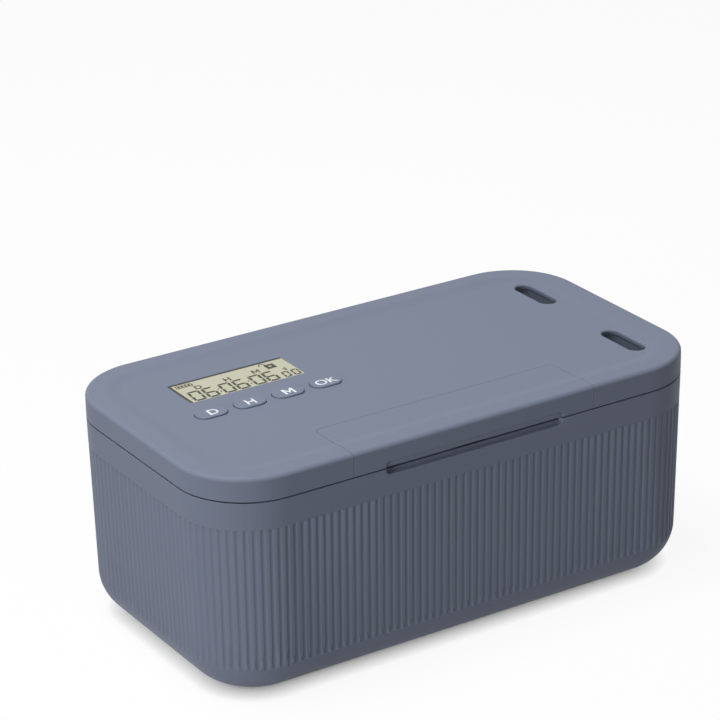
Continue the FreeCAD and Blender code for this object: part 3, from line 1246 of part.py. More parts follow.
# ---------------------------------------------------------------- check and export
for thing in doc.Objects:
    if {"Invalid", "Error"} & set(thing.State):
        raise RuntimeError(f"{thing.Name} failed: {thing.State}")
os.makedirs("parts", exist_ok=True)
for thing in NODES:
    shape = thing.Shape
    if shape.isNull() or not shape.isValid() or not shape.Solids:
        raise RuntimeError(f"{thing.Label} has no valid solid")
    shape.exportStep(f"parts/{thing.Label}.step")
    print(f"{thing.Label:18s} {len(shape.Solids):2d} solid(s) {shape.Volume:12.1f} mm3")
print(len(NODES), "nodes")
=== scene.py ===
# %% [markdown]
# # Timed lock container
# A fluted plastic box that locks its own lid until a countdown has run out. The shapes that were
# worked out as construction come in as a fixed frame; this script gives them their looks. Each
# step first says what a piece is on the real object, how it could be made, and why one way was
# picked. Lengths are in metres unless a comment says millimetres. X runs along the box, Y to its
# hinges and Z up.

# %% Load the frame
import json
import math

import bmesh
import bpy
from mathutils import Matrix, Vector

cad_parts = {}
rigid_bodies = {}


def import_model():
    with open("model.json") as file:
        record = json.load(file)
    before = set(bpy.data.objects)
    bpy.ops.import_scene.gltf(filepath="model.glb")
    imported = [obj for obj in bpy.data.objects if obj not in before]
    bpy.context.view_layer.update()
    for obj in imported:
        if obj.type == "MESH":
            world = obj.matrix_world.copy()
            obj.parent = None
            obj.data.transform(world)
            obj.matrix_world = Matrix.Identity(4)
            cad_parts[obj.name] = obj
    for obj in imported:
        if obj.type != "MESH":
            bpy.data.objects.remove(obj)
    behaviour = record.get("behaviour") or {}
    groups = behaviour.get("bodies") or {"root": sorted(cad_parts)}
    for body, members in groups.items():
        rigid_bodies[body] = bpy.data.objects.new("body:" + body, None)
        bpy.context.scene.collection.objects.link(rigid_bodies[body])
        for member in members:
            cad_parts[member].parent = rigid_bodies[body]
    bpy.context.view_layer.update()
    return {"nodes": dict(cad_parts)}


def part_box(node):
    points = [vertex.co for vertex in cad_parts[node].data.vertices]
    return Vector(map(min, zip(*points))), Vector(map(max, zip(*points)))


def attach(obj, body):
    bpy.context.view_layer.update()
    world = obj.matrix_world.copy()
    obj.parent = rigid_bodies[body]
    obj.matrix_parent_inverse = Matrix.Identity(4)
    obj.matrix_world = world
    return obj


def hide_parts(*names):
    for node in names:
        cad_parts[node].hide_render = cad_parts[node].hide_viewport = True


for leftover in list(bpy.data.objects):
    bpy.data.objects.remove(leftover)
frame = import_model()
nodes = frame["nodes"]
MM = 0.001


# %% Put a thing in the scene
def placed(name, data):
    """An object that holds this mesh, lamp, curve or camera."""
    thing = bpy.data.objects.new(name, data)
    bpy.context.collection.objects.link(thing)
    return thing


# %% [markdown]
# ## Camera
# A long lens from well in front, turned to the box's left, keeps the perspective flat. The camera
# is stated by the point it looks at, its distance, its turn and its height above the table, so
# that each can be changed alone; the two axes of the picture follow from those.

# %% Camera
TARGET = Vector((-13.13, 0.0, 106.5)) * MM
DISTANCE = 1283.9 * MM
TURN, RISE, ROLL = math.radians(-32.1271), math.radians(23.1111), math.radians(-1.1436)
SENSOR_WIDE, LENS = 36.0, 154.64  # millimetres
NEAREST, FARTHEST = 0.05, 20.0

backwards = Vector((math.sin(TURN) * math.cos(RISE), -math.cos(TURN) * math.cos(RISE),
                    math.sin(RISE)))
level_right = Vector((math.cos(TURN), math.sin(TURN), 0.0))
level_up = backwards.cross(level_right)
picture_right = level_right * math.cos(ROLL) + level_up * math.sin(ROLL)
picture_up = level_up * math.cos(ROLL) - level_right * math.sin(ROLL)

camera = placed("camera", bpy.data.cameras.new("camera"))
camera.data.sensor_width, camera.data.lens = SENSOR_WIDE, LENS
camera.data.clip_start, camera.data.clip_end = NEAREST, FARTHEST
camera.matrix_world = Matrix.Translation(TARGET + backwards * DISTANCE) @ Matrix(
    (picture_right, picture_up, backwards)).transposed().to_4x4()
bpy.context.scene.camera = camera
bpy.context.scene.view_settings.view_transform = "Standard"
print("camera at", [round(v, 3) for v in camera.location])

# %% [markdown]
# ## Shader sums
# A material is a small sum over patterns: how much noise, how rough, which colour. Wiring each sum
# by hand hides it, so one class wraps a node's output and lets it be written as arithmetic, and
# one method adds every other kind of node.


# %% Shader sums
class Reading:
    """One node's output, which can be added, multiplied and so on like a number."""

    def __init__(self, finish, socket):
        self.finish, self.socket = finish, socket

    def reckon(self, operation, *terms):
        return self.finish.node("ShaderNodeMath", {"operation": operation}, dict(enumerate(terms)))

    def __add__(self, other):
        return self.reckon("ADD", self, other)

    def __sub__(self, other):
        return self.reckon("SUBTRACT", self, other)

    def __rsub__(self, other):
        return self.reckon("SUBTRACT", other, self)

    def __mul__(self, other):
        return self.reckon("MULTIPLY", self, other)

    def __pow__(self, other):
        return self.reckon("POWER", self, other)

    def __gt__(self, other):
        return self.reckon("GREATER_THAN", self, other)

    def __lt__(self, other):
        return self.reckon("LESS_THAN", self, other)

    def folded(self, length):
        """Runs up to a length and back down again, over and over."""
        return self.reckon("PINGPONG", self, length)

    __radd__, __rmul__ = __add__, __mul__


# %% Materials and room light
class Finish:
    """A material, or the room's light, that is built node by node."""

    def __init__(self, name, kind=bpy.data.materials, end="ShaderNodeOutputMaterial"):
        self.made, self.end = kind.new(name), end
        self.made.use_nodes = True
        self.tree = self.made.node_tree
        self.tree.nodes.clear()

    def node(self, kind, settings=None, sockets=None, take=0):
        """Adds a node, sets it, fills its sockets and returns one of its outputs."""
        made = self.tree.nodes.new(kind)
        for name, value in (settings or {}).items():
            setattr(made, name, value)
        for name, value in (sockets or {}).items():
            socket = made.inputs[name]
            if isinstance(value, Reading):
                self.tree.links.new(value.socket, socket)
            elif socket.type == "RGBA":
                socket.default_value = (*value, 1.0)
            else:
                socket.default_value = value
        return Reading(self, made.outputs[take])

    def place(self):
        """Where a point lies: in the object's own space, the same at every pose."""
        return self.node("ShaderNodeTexCoord", take="Object")

    def noise(self, scale, detail=2.0, where=None):
        """Soft blots from 0 to 1, this many to the metre."""
        return self.node("ShaderNodeTexNoise", None, {
            "Vector": where or self.place(), "Scale": scale, "Detail": detail})

    def blend(self, amount, low, high):
        """A colour between two, by an amount from 0 to 1."""
        return self.node("ShaderNodeMix", {"data_type": "RGBA"}, {0: amount, 6: low, 7: high},
                         take=2)

    def bump(self, height, depth):
        """Tilts the light as if a height of 1 stood out by the depth."""
        return self.node("ShaderNodeBump", None, {"Height": height, "Distance": depth})

    def close(self, shader):
        """Ends the tree with one shader and returns what it belongs to."""
        end = self.tree.nodes.new(self.end)
        self.tree.links.new(shader.socket, end.inputs["Surface"])
        return self.made

    def surface(self, **sockets):
        """Closes a material with one all-round shader."""
        named = {name.replace("_", " "): value for name, value in sockets.items()}
        return self.close(self.node("ShaderNodeBsdfPrincipled", None, named))


def grey(level):
    return (level, level, level)


def tone(red, green, blue):
    """A colour as a screen's 0 to 255 values, made linear by the curve that screens use."""
    return tuple(((v / 255 + 0.055) / 1.055) ** 2.4 if v > 10 else v / 255 / 12.92
                 for v in (red, green, blue))


print("mid grey is", round(tone(128, 128, 128)[0], 3), "in linear light")

# %% [markdown]
# ## Table and light
# The box stands on a pale table. A soft lamp hangs overhead, a little to the left, and a low one
# on the left front keeps the near corner from going dark. The rest of the room gives an even fill,
# so the top is the brightest face, the left end comes next and the front falls off towards the
# right. The table is near white where the camera, a gloss or a glass sees it, and darker for the
# light it throws back, so that it doesn't bleach the front from below. Mixing in some light of its
# own keeps the wide shadow faint, and that light fades within a few millimetres of the box, which
# leaves the narrow dark line that makes a thing stand on its table.

# %% Table
TABLE_HALF = 3.0
TABLE_THROWS, TABLE_SHOWS = 0.38, 0.97
SHADOW_KEPT = 0.08
CONTACT_REACH, CONTACT_DEPTH, CONTACT_SAMPLES = 6.5 * MM, 0.4, 8

table_mesh = bpy.data.meshes.new("table")
table_mesh.from_pydata([(x * TABLE_HALF, y * TABLE_HALF, 0)
                        for x, y in ((-1, -1), (1, -1), (1, 1), (-1, 1))], [], [(0, 1, 2, 3)])
table = placed("table", table_mesh)


def seen(finish):
    """1 where a camera, gloss or glass ray looks, 0 for the light that spreads."""
    camera_ray, gloss_ray, glass_ray = (
        finish.node("ShaderNodeLightPath", take=name)
        for name in ("Is Camera Ray", "Is Glossy Ray", "Is Transmission Ray"))
    return (camera_ray + gloss_ray + glass_ray) > 0.5


table_top = Finish("table_top")
looked_at = seen(table_top)
lit = table_top.node("ShaderNodeBsdfDiffuse", None, {
    "Color": table_top.blend(looked_at, grey(TABLE_THROWS), grey(TABLE_SHOWS))})
openness = table_top.node("ShaderNodeAmbientOcclusion", {"samples": CONTACT_SAMPLES},
                          {"Distance": CONTACT_REACH}, take="AO")
glowing = table_top.node("ShaderNodeEmission", None, {
    "Color": table_top.blend(openness ** CONTACT_DEPTH, grey(0.0), grey(1.0)), "Strength": 1.0})
table.data.materials.append(table_top.close(table_top.node("ShaderNodeMixShader", None, {
    0: looked_at * (1 - SHADOW_KEPT), 1: lit, 2: glowing})))
print("table", 2 * TABLE_HALF, "m wide")


# %% Lamps
def lamp(name, at, size, watts):
    """A square soft lamp that faces the middle of the table."""
    data = bpy.data.lights.new(name, "AREA")
    data.energy, data.size = watts, size
    thing = placed(name, data)
    thing.location = at
    thing.rotation_euler = at.to_track_quat("Z", "Y").to_euler()
    return thing


key = lamp("key", Vector((-0.30, 0.06, 1.34)), size=0.55, watts=13.0)
fill = lamp("fill", Vector((-1.15, -0.50, 0.30)), size=0.35, watts=5.6)
print("lamps at", [tuple(round(v, 2) for v in one.location) for one in (key, fill)])

# %% Room
ROOM_LEVEL = 0.19
room = Finish("room", bpy.data.worlds, "ShaderNodeOutputWorld")
bpy.context.scene.world = room.close(room.node("ShaderNodeBackground", None, {
    "Color": room.blend(seen(room), grey(ROOM_LEVEL), grey(1.0)), "Strength": 1.0}))
print("room light at", ROOM_LEVEL)

# %% [markdown]
# ## Moulded plastic
# The tub, the lid and its cover are moulded in one blue-grey plastic. The mould is spark-eroded,
# which leaves a fine even grain that scatters the light: it is felt more than seen. A painted map
# would tie it to one size, so the grain is two layers of noise in the object's own space, at their
# real size of a few tenths of a millimetre, with a slow drift of colour and gloss over them.

# %% Moulded plastic
PATCHES, COARSER = 14.0, 4  # colour changes per metre, and the second grain's size in first ones


def moulded(name, shade, grain=0.45, depth=0.010, rough=0.55, drift=0.05, shine=0.18):
    """Grain size and depth in millimetres; drift is how far the colour strays."""
    finish = Finish(name)
    fine = finish.noise(1 / (grain * MM))
    coarse = finish.noise(1 / (grain * COARSER * MM), detail=1.0)
    slow = finish.noise(PATCHES, detail=3.0)
    dark, light = (tuple(v * (1 + way * drift) for v in shade) for way in (-1, 1))
    return finish.surface(
        Base_Color=finish.blend(slow * 0.7 + fine * 0.3, dark, light),
        Roughness=rough + (slow - 0.5) * 0.10 + (fine - 0.5) * 0.12,
        Specular_IOR_Level=shine,
        Normal=finish.bump(fine * 0.7 + coarse * 0.3, depth * MM))


def coat(material, *names):
    """Gives construction pieces their finish."""
    for name in names:
        for slot in nodes[name].material_slots:
            slot.material = material


SHELL_BLUE = (0.190, 0.218, 0.293)
LINER_BLUE = tuple(v * 1.05 for v in SHELL_BLUE)
shell_plastic = moulded("shell_plastic", SHELL_BLUE)
coat(shell_plastic, "tub", "lid_shell", "latch_cover")
coat(moulded("liner_plastic", LINER_BLUE, rough=0.6), "lid_liner", "battery_door")
coat(moulded("key_plastic", SHELL_BLUE, grain=0.3, rough=0.48, drift=0.03),
     "key_days", "key_hours", "key_minutes", "key_ok")
print("shell colour, linear", SHELL_BLUE)

# %% [markdown]
# ## Closed bars
# The tools that cut the tub and the plates of the display are all bars: the same outline, set out
# again and again along a line and closed at both ends. One helper joins such rings, and another
# turns the faces outwards and makes a plain mesh of the result.


# %% Closed bars
def loft(mesh, rings):
    """Joins rings of points into one closed bar."""
    made = [[mesh.verts.new(point) for point in ring] for ring in rings]
    for low, high in zip(made, made[1:]):
        for a in range(len(low)):
            b = (a + 1) % len(low)
            mesh.faces.new((low[a], low[b], high[b], high[a]))
    mesh.faces.new(made[0][::-1])
    mesh.faces.new(made[-1])


def finished(name, mesh):
    """A plain mesh from one that was being edited, with its faces outwards."""
    bmesh.ops.recalc_face_normals(mesh, faces=mesh.faces)
    made = bpy.data.meshes.new(name)
    mesh.to_mesh(made)
    mesh.free()
    return made


# %% [markdown]
# ## Fluted wall
# Below a smooth band the tub's wall is cut into narrow upright flutes all the way round, corners
# included. Each is the same shallow scoop with a short square shoulder at the top, and runs out by
# itself where the wall turns under. Nearly two hundred equal cuts along one path are a rule, not a
# drawing: the scoop is built once, a Geometry Nodes tree sets a copy on each point of the tub's
# outline, leaning as the wall leans, and takes all of them away from the tub at once.

# %% One scoop
WALL_DRAFT, WALL_TALL = 1.85 * MM, 89.3 * MM  # how far the wall comes in, over what height
LEAN = math.atan(WALL_DRAFT / WALL_TALL)
OUTLINE_HALF_X, OUTLINE_HALF_Y, OUTLINE_CORNER = 120 * MM, 66 * MM, 31.5 * MM
OUTLINE_Z = 89.8 * MM
SCOOP_COUNT, SCOOP_HALF, SCOOP_DEPTH = 198, 1.15 * MM, 0.50 * MM
SCOOP_TOP, SCOOP_FOOT, SCOOP_SHOULDER, SCOOP_PROUD = 78.0 * MM, 11.0 * MM, 0.6 * MM, 1.0 * MM
SCOOP_RADIUS = (SCOOP_HALF ** 2 + SCOOP_DEPTH ** 2) / (2 * SCOOP_DEPTH)
ARC_STEPS, SHOULDER_STEPS = 6, 3

levels = [(SCOOP_FOOT, SCOOP_HALF)]
for step in range(SHOULDER_STEPS + 1):
    angle = step * math.pi / (2 * SHOULDER_STEPS)
    levels.append((SCOOP_TOP - SCOOP_SHOULDER * (1 - math.sin(angle)),
                   SCOOP_HALF - SCOOP_SHOULDER * (1 - math.cos(angle))))
scoop_rings = []  # X along the wall, Y out of it, Z from the rim
for z, half in levels:
    arc = [half * (2 * step / ARC_STEPS - 1) for step in range(ARC_STEPS + 1)]
    profile = [(x, SCOOP_RADIUS - SCOOP_DEPTH - math.sqrt(SCOOP_RADIUS ** 2 - x ** 2))
               for x in arc] + [(half, SCOOP_PROUD), (-half, SCOOP_PROUD)]
    scoop_rings.append([(x, y, z - OUTLINE_Z) for x, y in profile])
scoop_mesh = bmesh.new()
loft(scoop_mesh, scoop_rings)
scoop = placed("scoop", finished("scoop", scoop_mesh))
print("scoop", len(scoop.data.polygons), "faces, arc radius", round(SCOOP_RADIUS / MM, 2), "mm")

# %% [markdown]
# ## Lip of the finger recess
# The recess in the front has a broken edge along its lower lip, which softens it under a finger.
# Behind it the rim steps down, so that the parting gap opens to a dark line where the fingers go.
# Both are straight cuts as long as the recess, made in the same tree as the flutes.

# %% Two cuts for the lip
# All in millimetres.
RECESS_HALF, RECESS_ROUND, RECESS_FACE = 42.9, 2.0, -63.4
LIP_Z, LIP_BREAK, LIP_PAST, LIP_PROUD = 87.2, 0.6, 0.4, 1.0
STEP_Z, STEP_BACK, STEP_PAST = 88.5, 1.2, 0.5
RIM_Z = OUTLINE_Z / MM


def bar_along_x(mesh, outline, half_long):
    """A bar whose outline is given as Y and Z in millimetres."""
    loft(mesh, [[(x * MM, y * MM, z * MM) for y, z in outline] for x in (-half_long, half_long)])


wall_y = -OUTLINE_HALF_Y / MM + (RIM_Z - LIP_Z) * math.tan(LEAN)
lip_mesh = bmesh.new()
bar_along_x(lip_mesh, [(wall_y + LIP_BREAK + LIP_PAST, LIP_Z + LIP_PAST),
                       (wall_y - LIP_PROUD, LIP_Z + LIP_PAST),
                       (wall_y - LIP_PROUD, LIP_Z - LIP_BREAK - LIP_PROUD)],
            RECESS_HALF - RECESS_ROUND)
bar_along_x(lip_mesh, [(RECESS_FACE - STEP_PAST, STEP_Z), (RECESS_FACE + STEP_BACK, STEP_Z),
                       (RECESS_FACE + STEP_BACK, RIM_Z + STEP_PAST),
                       (RECESS_FACE - STEP_PAST, RIM_Z + STEP_PAST)], RECESS_HALF)
lip = placed("lip", finished("lip", lip_mesh))
print("lip cuts at", LIP_Z, "and", STEP_Z, "mm")


# %% Node trees for shapes
class Tree:
    """A Geometry Nodes tree with named inputs."""

    def __init__(self, name):
        self.group = bpy.data.node_groups.new(name, "GeometryNodeTree")
        for way in ("INPUT", "OUTPUT"):
            self.group.interface.new_socket("Geometry", in_out=way,
                                            socket_type="NodeSocketGeometry")
        self.start = self.group.nodes.new("NodeGroupInput")
        self.end = self.group.nodes.new("NodeGroupOutput")
        self.identifiers = {}

    def ask(self, name, kind):
        """Adds a named input and returns its socket inside the tree."""
        made = self.group.interface.new_socket(name, in_out="INPUT", socket_type=kind)
        self.identifiers[name] = made.identifier
        return self.start.outputs[name]

    def node(self, kind, settings=None, sockets=None, take=0):
        """Adds a node, sets it, fills its sockets and returns one of its outputs."""
        made = self.group.nodes.new(kind)
        for name, value in (settings or {}).items():
            setattr(made, name, value)
        for name, value in (sockets or {}).items():
            for each in value if isinstance(value, list) else [value]:
                if isinstance(each, bpy.types.NodeSocket):
                    self.group.links.new(each, made.inputs[name])
                else:
                    made.inputs[name].default_value = each
        return made.outputs[take]

    def close(self, geometry):
        self.group.links.new(geometry, self.end.inputs[0])

    def apply(self, thing, **values):
        """Runs the tree on an object and returns the result as a plain mesh."""
        modifier = thing.modifiers.new("tree", "NODES")
        modifier.node_group = self.group
        for name, value in values.items():
            modifier[self.identifiers[name]] = value
        return settled(thing, modifier)


def settled(thing, modifier):
    """A plain mesh of what the modifier makes; the modifier goes."""
    bpy.context.view_layer.update()
    result = bpy.data.meshes.new_from_object(
        thing.evaluated_get(bpy.context.evaluated_depsgraph_get()))
    thing.modifiers.remove(modifier)
    return result


# %% Flutes all round the tub
CORNER_STEPS = 64

flutes = Tree("flutes")
count = flutes.ask("Count", "NodeSocketInt")
outline_long, outline_wide, outline_corner, outline_height, lean = (
    flutes.ask(name, "NodeSocketFloat")
    for name in ("Outline_Length", "Outline_Depth", "Outline_Corner", "Outline_Height", "Lean"))
scoop_input, lip_input = (flutes.ask(name, "NodeSocketObject") for name in ("Scoop", "Lip"))
finish_input = flutes.ask("Finish", "NodeSocketMaterial")

square = flutes.node("GeometryNodeCurvePrimitiveQuadrilateral", None,
                     {"Width": outline_long, "Height": outline_wide})
softened = flutes.node("GeometryNodeFilletCurve", {"mode": "POLY"},
                       {"Curve": square, "Radius": outline_corner, "Count": CORNER_STEPS})
path = flutes.node("GeometryNodeResampleCurve", None, {"Curve": softened, "Count": count})
lifted = flutes.node("GeometryNodeTransform", None, {
    "Geometry": path,
    "Translation": flutes.node("ShaderNodeCombineXYZ", None, {"Z": outline_height})})
backwards_along = flutes.node("ShaderNodeVectorMath", {"operation": "SCALE"}, {
    0: flutes.node("GeometryNodeInputTangent"), "Scale": -1.0})
facing = flutes.node("FunctionNodeAlignRotationToVector", {"axis": "X", "pivot_axis": "Z"}, {
    "Vector": backwards_along})
leaning_out = flutes.node("ShaderNodeMath", {"operation": "MULTIPLY"}, {0: lean, 1: -1.0})
tilt = flutes.node("FunctionNodeEulerToRotation", None, {
    "Euler": flutes.node("ShaderNodeCombineXYZ", None, {"X": leaning_out})})
leaning = flutes.node("FunctionNodeRotateRotation", {"rotation_space": "LOCAL"},
                      {"Rotation": facing, "Rotate By": tilt})
one_scoop, lip_cuts = (
    flutes.node("GeometryNodeObjectInfo", None, {"Object": tool}, take="Geometry")
    for tool in (scoop_input, lip_input))
copies = flutes.node("GeometryNodeInstanceOnPoints", None, {
    "Points": lifted, "Instance": one_scoop, "Rotation": leaning})
scoops = flutes.node("GeometryNodeRealizeInstances", None, {"Geometry": copies})
fluted = flutes.node("GeometryNodeMeshBoolean", {"operation": "DIFFERENCE", "solver": "MANIFOLD"},
                     {"Mesh 1": flutes.start.outputs[0], "Mesh 2": [scoops, lip_cuts]})
whole = flutes.node("GeometryNodeRealizeInstances", None, {"Geometry": fluted})
flutes.close(flutes.node("GeometryNodeSetMaterial", None, {
    "Geometry": whole, "Material": finish_input}))
print("flute tree", len(flutes.group.nodes), "nodes, inputs", ", ".join(flutes.identifiers))

# %% The tub with its flutes cut
WELD = 1e-7
CREASE, FLAT = math.radians(28), math.radians(0.4)


def merged_copy(name, source):
    """A closed copy of a construction piece, whose own mesh is loose triangles."""
    mesh = bmesh.new()
    mesh.from_mesh(nodes[source].data)
    bmesh.ops.remove_doubles(mesh, verts=mesh.verts, dist=WELD)
    made = bpy.data.meshes.new(name)
    mesh.to_mesh(made)
    mesh.free()
    return placed(name, made)


def shade(thing):
    """Joins the slivers of flat faces, then shades smooth, with creases and large faces kept."""
    mesh = bmesh.new()
    mesh.from_mesh(thing.data)
    bmesh.ops.dissolve_limit(mesh, angle_limit=FLAT, verts=mesh.verts, edges=mesh.edges)
    mesh.to_mesh(thing.data)
    mesh.free()
    thing.data.shade_smooth()
    thing.data.set_sharp_from_angle(angle=CREASE)
    weighing = thing.modifiers.new("weighing", "WEIGHTED_NORMAL")
    weighing.keep_sharp = True
    thing.data = settled(thing, weighing)


tub = merged_copy("fluted_tub", "tub")
before = len(tub.data.polygons)
tub.data = flutes.apply(tub, Count=SCOOP_COUNT, Outline_Length=2 * OUTLINE_HALF_X,
                        Outline_Depth=2 * OUTLINE_HALF_Y, Outline_Corner=OUTLINE_CORNER,
                        Outline_Height=OUTLINE_Z, Lean=LEAN, Scoop=scoop, Lip=lip,
                        Finish=shell_plastic)
for tool in (scoop, lip):
    bpy.data.objects.remove(tool)
shade(tub)
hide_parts("tub")
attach(tub, "base")
print("tub", before, "faces before,", len(tub.data.polygons), "after")

# %% [markdown]
# ## Display
# The timer shows days, hours, minutes and seconds on a plain liquid-crystal panel: a dull
# green-grey reflector under glass, with black segments that are printed shapes switched on and
# off. A front pane stands up in the window. Along its left and rear edges a dark strip is painted
# as the shadow that the window's walls cast on it. The segments are thin plates laid on the pane,
# drawn from one seven-segment rule, because numbers, gaps and slant then stay equal from digit to
# digit. A second, fainter set is the segments that are off.

# %% Display finishes
reflector = Finish("display_reflector")
lcd_glass = reflector.surface(
    Base_Color=reflector.blend(reflector.noise(60.0), tone(185, 184, 159), tone(195, 194, 170)),
    Roughness=0.45 + reflector.noise(900.0) * 0.1, Coat_Weight=0.35, Coat_Roughness=0.08)
coat(lcd_glass, "lcd_glass")


INK_FADE, INK_DUST = 1.25, 0.004  # how much paler the specks in the ink are


def print_ink(name, shade_on):
    finish = Finish(name)
    speck = finish.noise(2500.0, detail=1.0)
    light = tuple(v * INK_FADE + INK_DUST for v in shade_on)
    return finish.surface(Base_Color=finish.blend(speck, shade_on, light),
                          Roughness=0.5 + (speck - 0.5) * 0.1, Specular_IOR_Level=0.3)


# The dark print of segments and signs; the same colour is also painted as the window's shadow on
# the pane.
segment_ink = print_ink("segment_ink", tone(58, 56, 44))
ghost_ink = print_ink("ghost_ink", tone(184, 183, 156))
white_ink = print_ink("white_ink", tone(226, 230, 236))
print("reflector and inks ready")


# %% Flat plates
class Plates:
    """Thin flat plates of any outline, gathered into one mesh; lengths in millimetres."""

    def __init__(self):
        self.mesh = bmesh.new()

    def add(self, outline, low, high):
        loft(self.mesh, [[(x * MM, y * MM, z * MM) for x, y in outline] for z in (low, high)])

    def object(self, name, material, body, slot):
        thing = placed(name, finished(name, self.mesh))
        thing.data.materials.append(material)
        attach(thing, body)
        print(name, len(thing.data.polygons), "faces")


def oblong(left, right, front, rear):
    return [(left, front), (right, front), (right, rear), (left, rear)]


def disc(x, y, radius, steps=16):
    turns = [2 * math.pi * k / steps for k in range(steps)]
    return [(x + radius * math.cos(t), y + radius * math.sin(t)) for t in turns]


# %% Front pane and painted shadow strips
# All in millimetres.
PANE_RISE, PANE_SUNK, PANE_GAP = 0.8, 0.05, 0.1
# Widths of the dark strips painted along the pane's left and rear edges as the window's shadow.
LEFT_SHADOW_WIDE, REAR_SHADOW_WIDE = 1.15, 1.1
INK_SUNK, INK_PROUD, GHOST_PROUD = 0.03, 0.05, 0.02
WINDOW_LEFT, WINDOW_RIGHT, WINDOW_FRONT, WINDOW_REAR = -85.4, -30.7, 15.0, 35.4
PANE_LEFT, PANE_RIGHT = WINDOW_LEFT + PANE_GAP, WINDOW_RIGHT - PANE_GAP
PANE_FRONT, PANE_REAR = WINDOW_FRONT + PANE_GAP, WINDOW_REAR - PANE_GAP
LEFT_SHADOW_EDGE, REAR_SHADOW_EDGE = WINDOW_LEFT + LEFT_SHADOW_WIDE, WINDOW_REAR - REAR_SHADOW_WIDE

GLASS_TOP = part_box("lcd_glass")[1][2] / MM
PANE_TOP = GLASS_TOP + PANE_RISE
INK_LOW, INK_HIGH, GHOST_HIGH = (PANE_TOP + lift for lift in (-INK_SUNK, INK_PROUD, GHOST_PROUD))

pane, print_and_shadow, ghosts = Plates(), Plates(), Plates()
pane.add(oblong(PANE_LEFT, PANE_RIGHT, PANE_FRONT, PANE_REAR), GLASS_TOP - PANE_SUNK, PANE_TOP)
pane.object("display_face", lcd_glass, "lid", "display_glass")
# Painted shadow: two dark strips along the pane's left and rear edges, in the print's dark colour,
# where the window's walls shade it.
print_and_shadow.add(oblong(PANE_LEFT, LEFT_SHADOW_EDGE, PANE_FRONT, PANE_REAR), INK_LOW, INK_HIGH)
print_and_shadow.add(oblong(LEFT_SHADOW_EDGE, PANE_RIGHT, REAR_SHADOW_EDGE, PANE_REAR), INK_LOW, INK_HIGH)
print("glass top at", round(GLASS_TOP, 2), "mm, its front pane up to", round(PANE_TOP, 2), "mm")

# %% Seven segments
SEGMENTS = {"0": "abcdef", "6": "acdefg", "8": "abcdefg"}
TIP, INNER_TIP = 0.25, 0.9  # how blunt a segment's ends are, in parts of its stroke


def segment_outlines(wide, tall, stroke, gap):
    """Each segment's outline, for a digit whose lower left corner is at 0, 0."""
    mid, half, clear = tall / 2, stroke / 2, gap / 2
    tip, shoulder = stroke * TIP + clear, stroke + clear
    out = {}
    for name, outer, inner in (("a", tall, tall - stroke), ("d", 0.0, stroke)):
        out[name] = [(tip, outer), (shoulder, inner), (wide - shoulder, inner), (wide - tip, outer)]
    point, edge = stroke * INNER_TIP / 2 + clear, stroke * INNER_TIP + clear
    out["g"] = [(point, mid), (edge, mid - half), (wide - edge, mid - half),
                (wide - point, mid), (wide - edge, mid + half), (edge, mid + half)]
    for name, outer, inner, way in (("f", 0.0, stroke, 1), ("b", wide, wide - stroke, 1),
                                    ("e", 0.0, stroke, -1), ("c", wide, wide - stroke, -1)):
        end = mid + way * mid
        out[name] = [(outer, end - way * tip), (inner, end - way * shoulder),
                     (inner, mid + way * (clear + half * INNER_TIP)), (outer, mid + way * clear)]
    return out


# %% Numbers
# All in millimetres, from the corner of the figures.
ART_X, ART_Y, SLANT, DIGIT_FOOT = -83.75, 14.5, 0.07, 1.2
BIG = dict(wide=5.6, tall=9.8, stroke=1.15, gap=0.35)
SMALL = dict(wide=3.3, tall=5.9, stroke=0.85, gap=0.25)
FIGURES = [(text, x, BIG) for text, x in zip("060606", (1.0, 7.6, 15.5, 22.0, 30.0, 36.4))]
FIGURES += [("0", x, SMALL) for x in (44.3, 48.8)]
COLONS_AT, DOTS_AT, DOT = (14.4, 28.8), (4.3, 6.9), 0.42


def digit(plates, text, x, size, high):
    """The segments of one digit, slanted and laid on the pane."""
    for name, outline in segment_outlines(**size).items():
        if name in SEGMENTS[text]:
            plates.add([(ART_X + x + px + SLANT * py, ART_Y + DIGIT_FOOT + py)
                        for px, py in outline], INK_LOW, high)


for text, x, size in FIGURES:
    digit(ghosts, "8", x, size, GHOST_HIGH)
    digit(print_and_shadow, text, x, size, INK_HIGH)
for x in COLONS_AT:
    for y in DOTS_AT:
        print_and_shadow.add(disc(ART_X + x + SLANT * y, ART_Y + y, DOT), INK_LOW, INK_HIGH)
ghosts.object("display_ghosts", ghost_ink, "lid", "display_glass")

# %% Battery sign and padlock sign
# Left, right, front and rear of each bar, in millimetres from the corner of the figures.
BATTERY_CASE = ((0.7, 8.1, 16.1, 16.4), (0.7, 8.1, 18.7, 19.0), (0.7, 1.0, 16.4, 18.7),
                (7.8, 8.1, 16.4, 18.7), (8.1, 8.6, 17.0, 18.1))
BATTERY_CHARGE = tuple((1.5 + 1.6 * k, 2.55 + 1.6 * k, 16.8, 18.3) for k in range(4))
PADLOCK_BODY = ((42.5, 46.9, 12.9, 14.6), (42.5, 43.95, 14.6, 15.9), (45.45, 46.9, 14.6, 15.9),
                (42.5, 46.9, 15.9, 17.3))
SHACKLE_LEGS = ((43.2, 43.65, 17.2, 17.9), (40.52, 40.97, 16.9, 17.9))
SHACKLE_X, SHACKLE_Y, SHACKLE_RADIUS, SHACKLE_STROKE, SHACKLE_STEPS = 42.1, 17.8, 1.35, 0.45, 12
OVERLAP = 1.02  # each slice of the shackle runs a little into the next

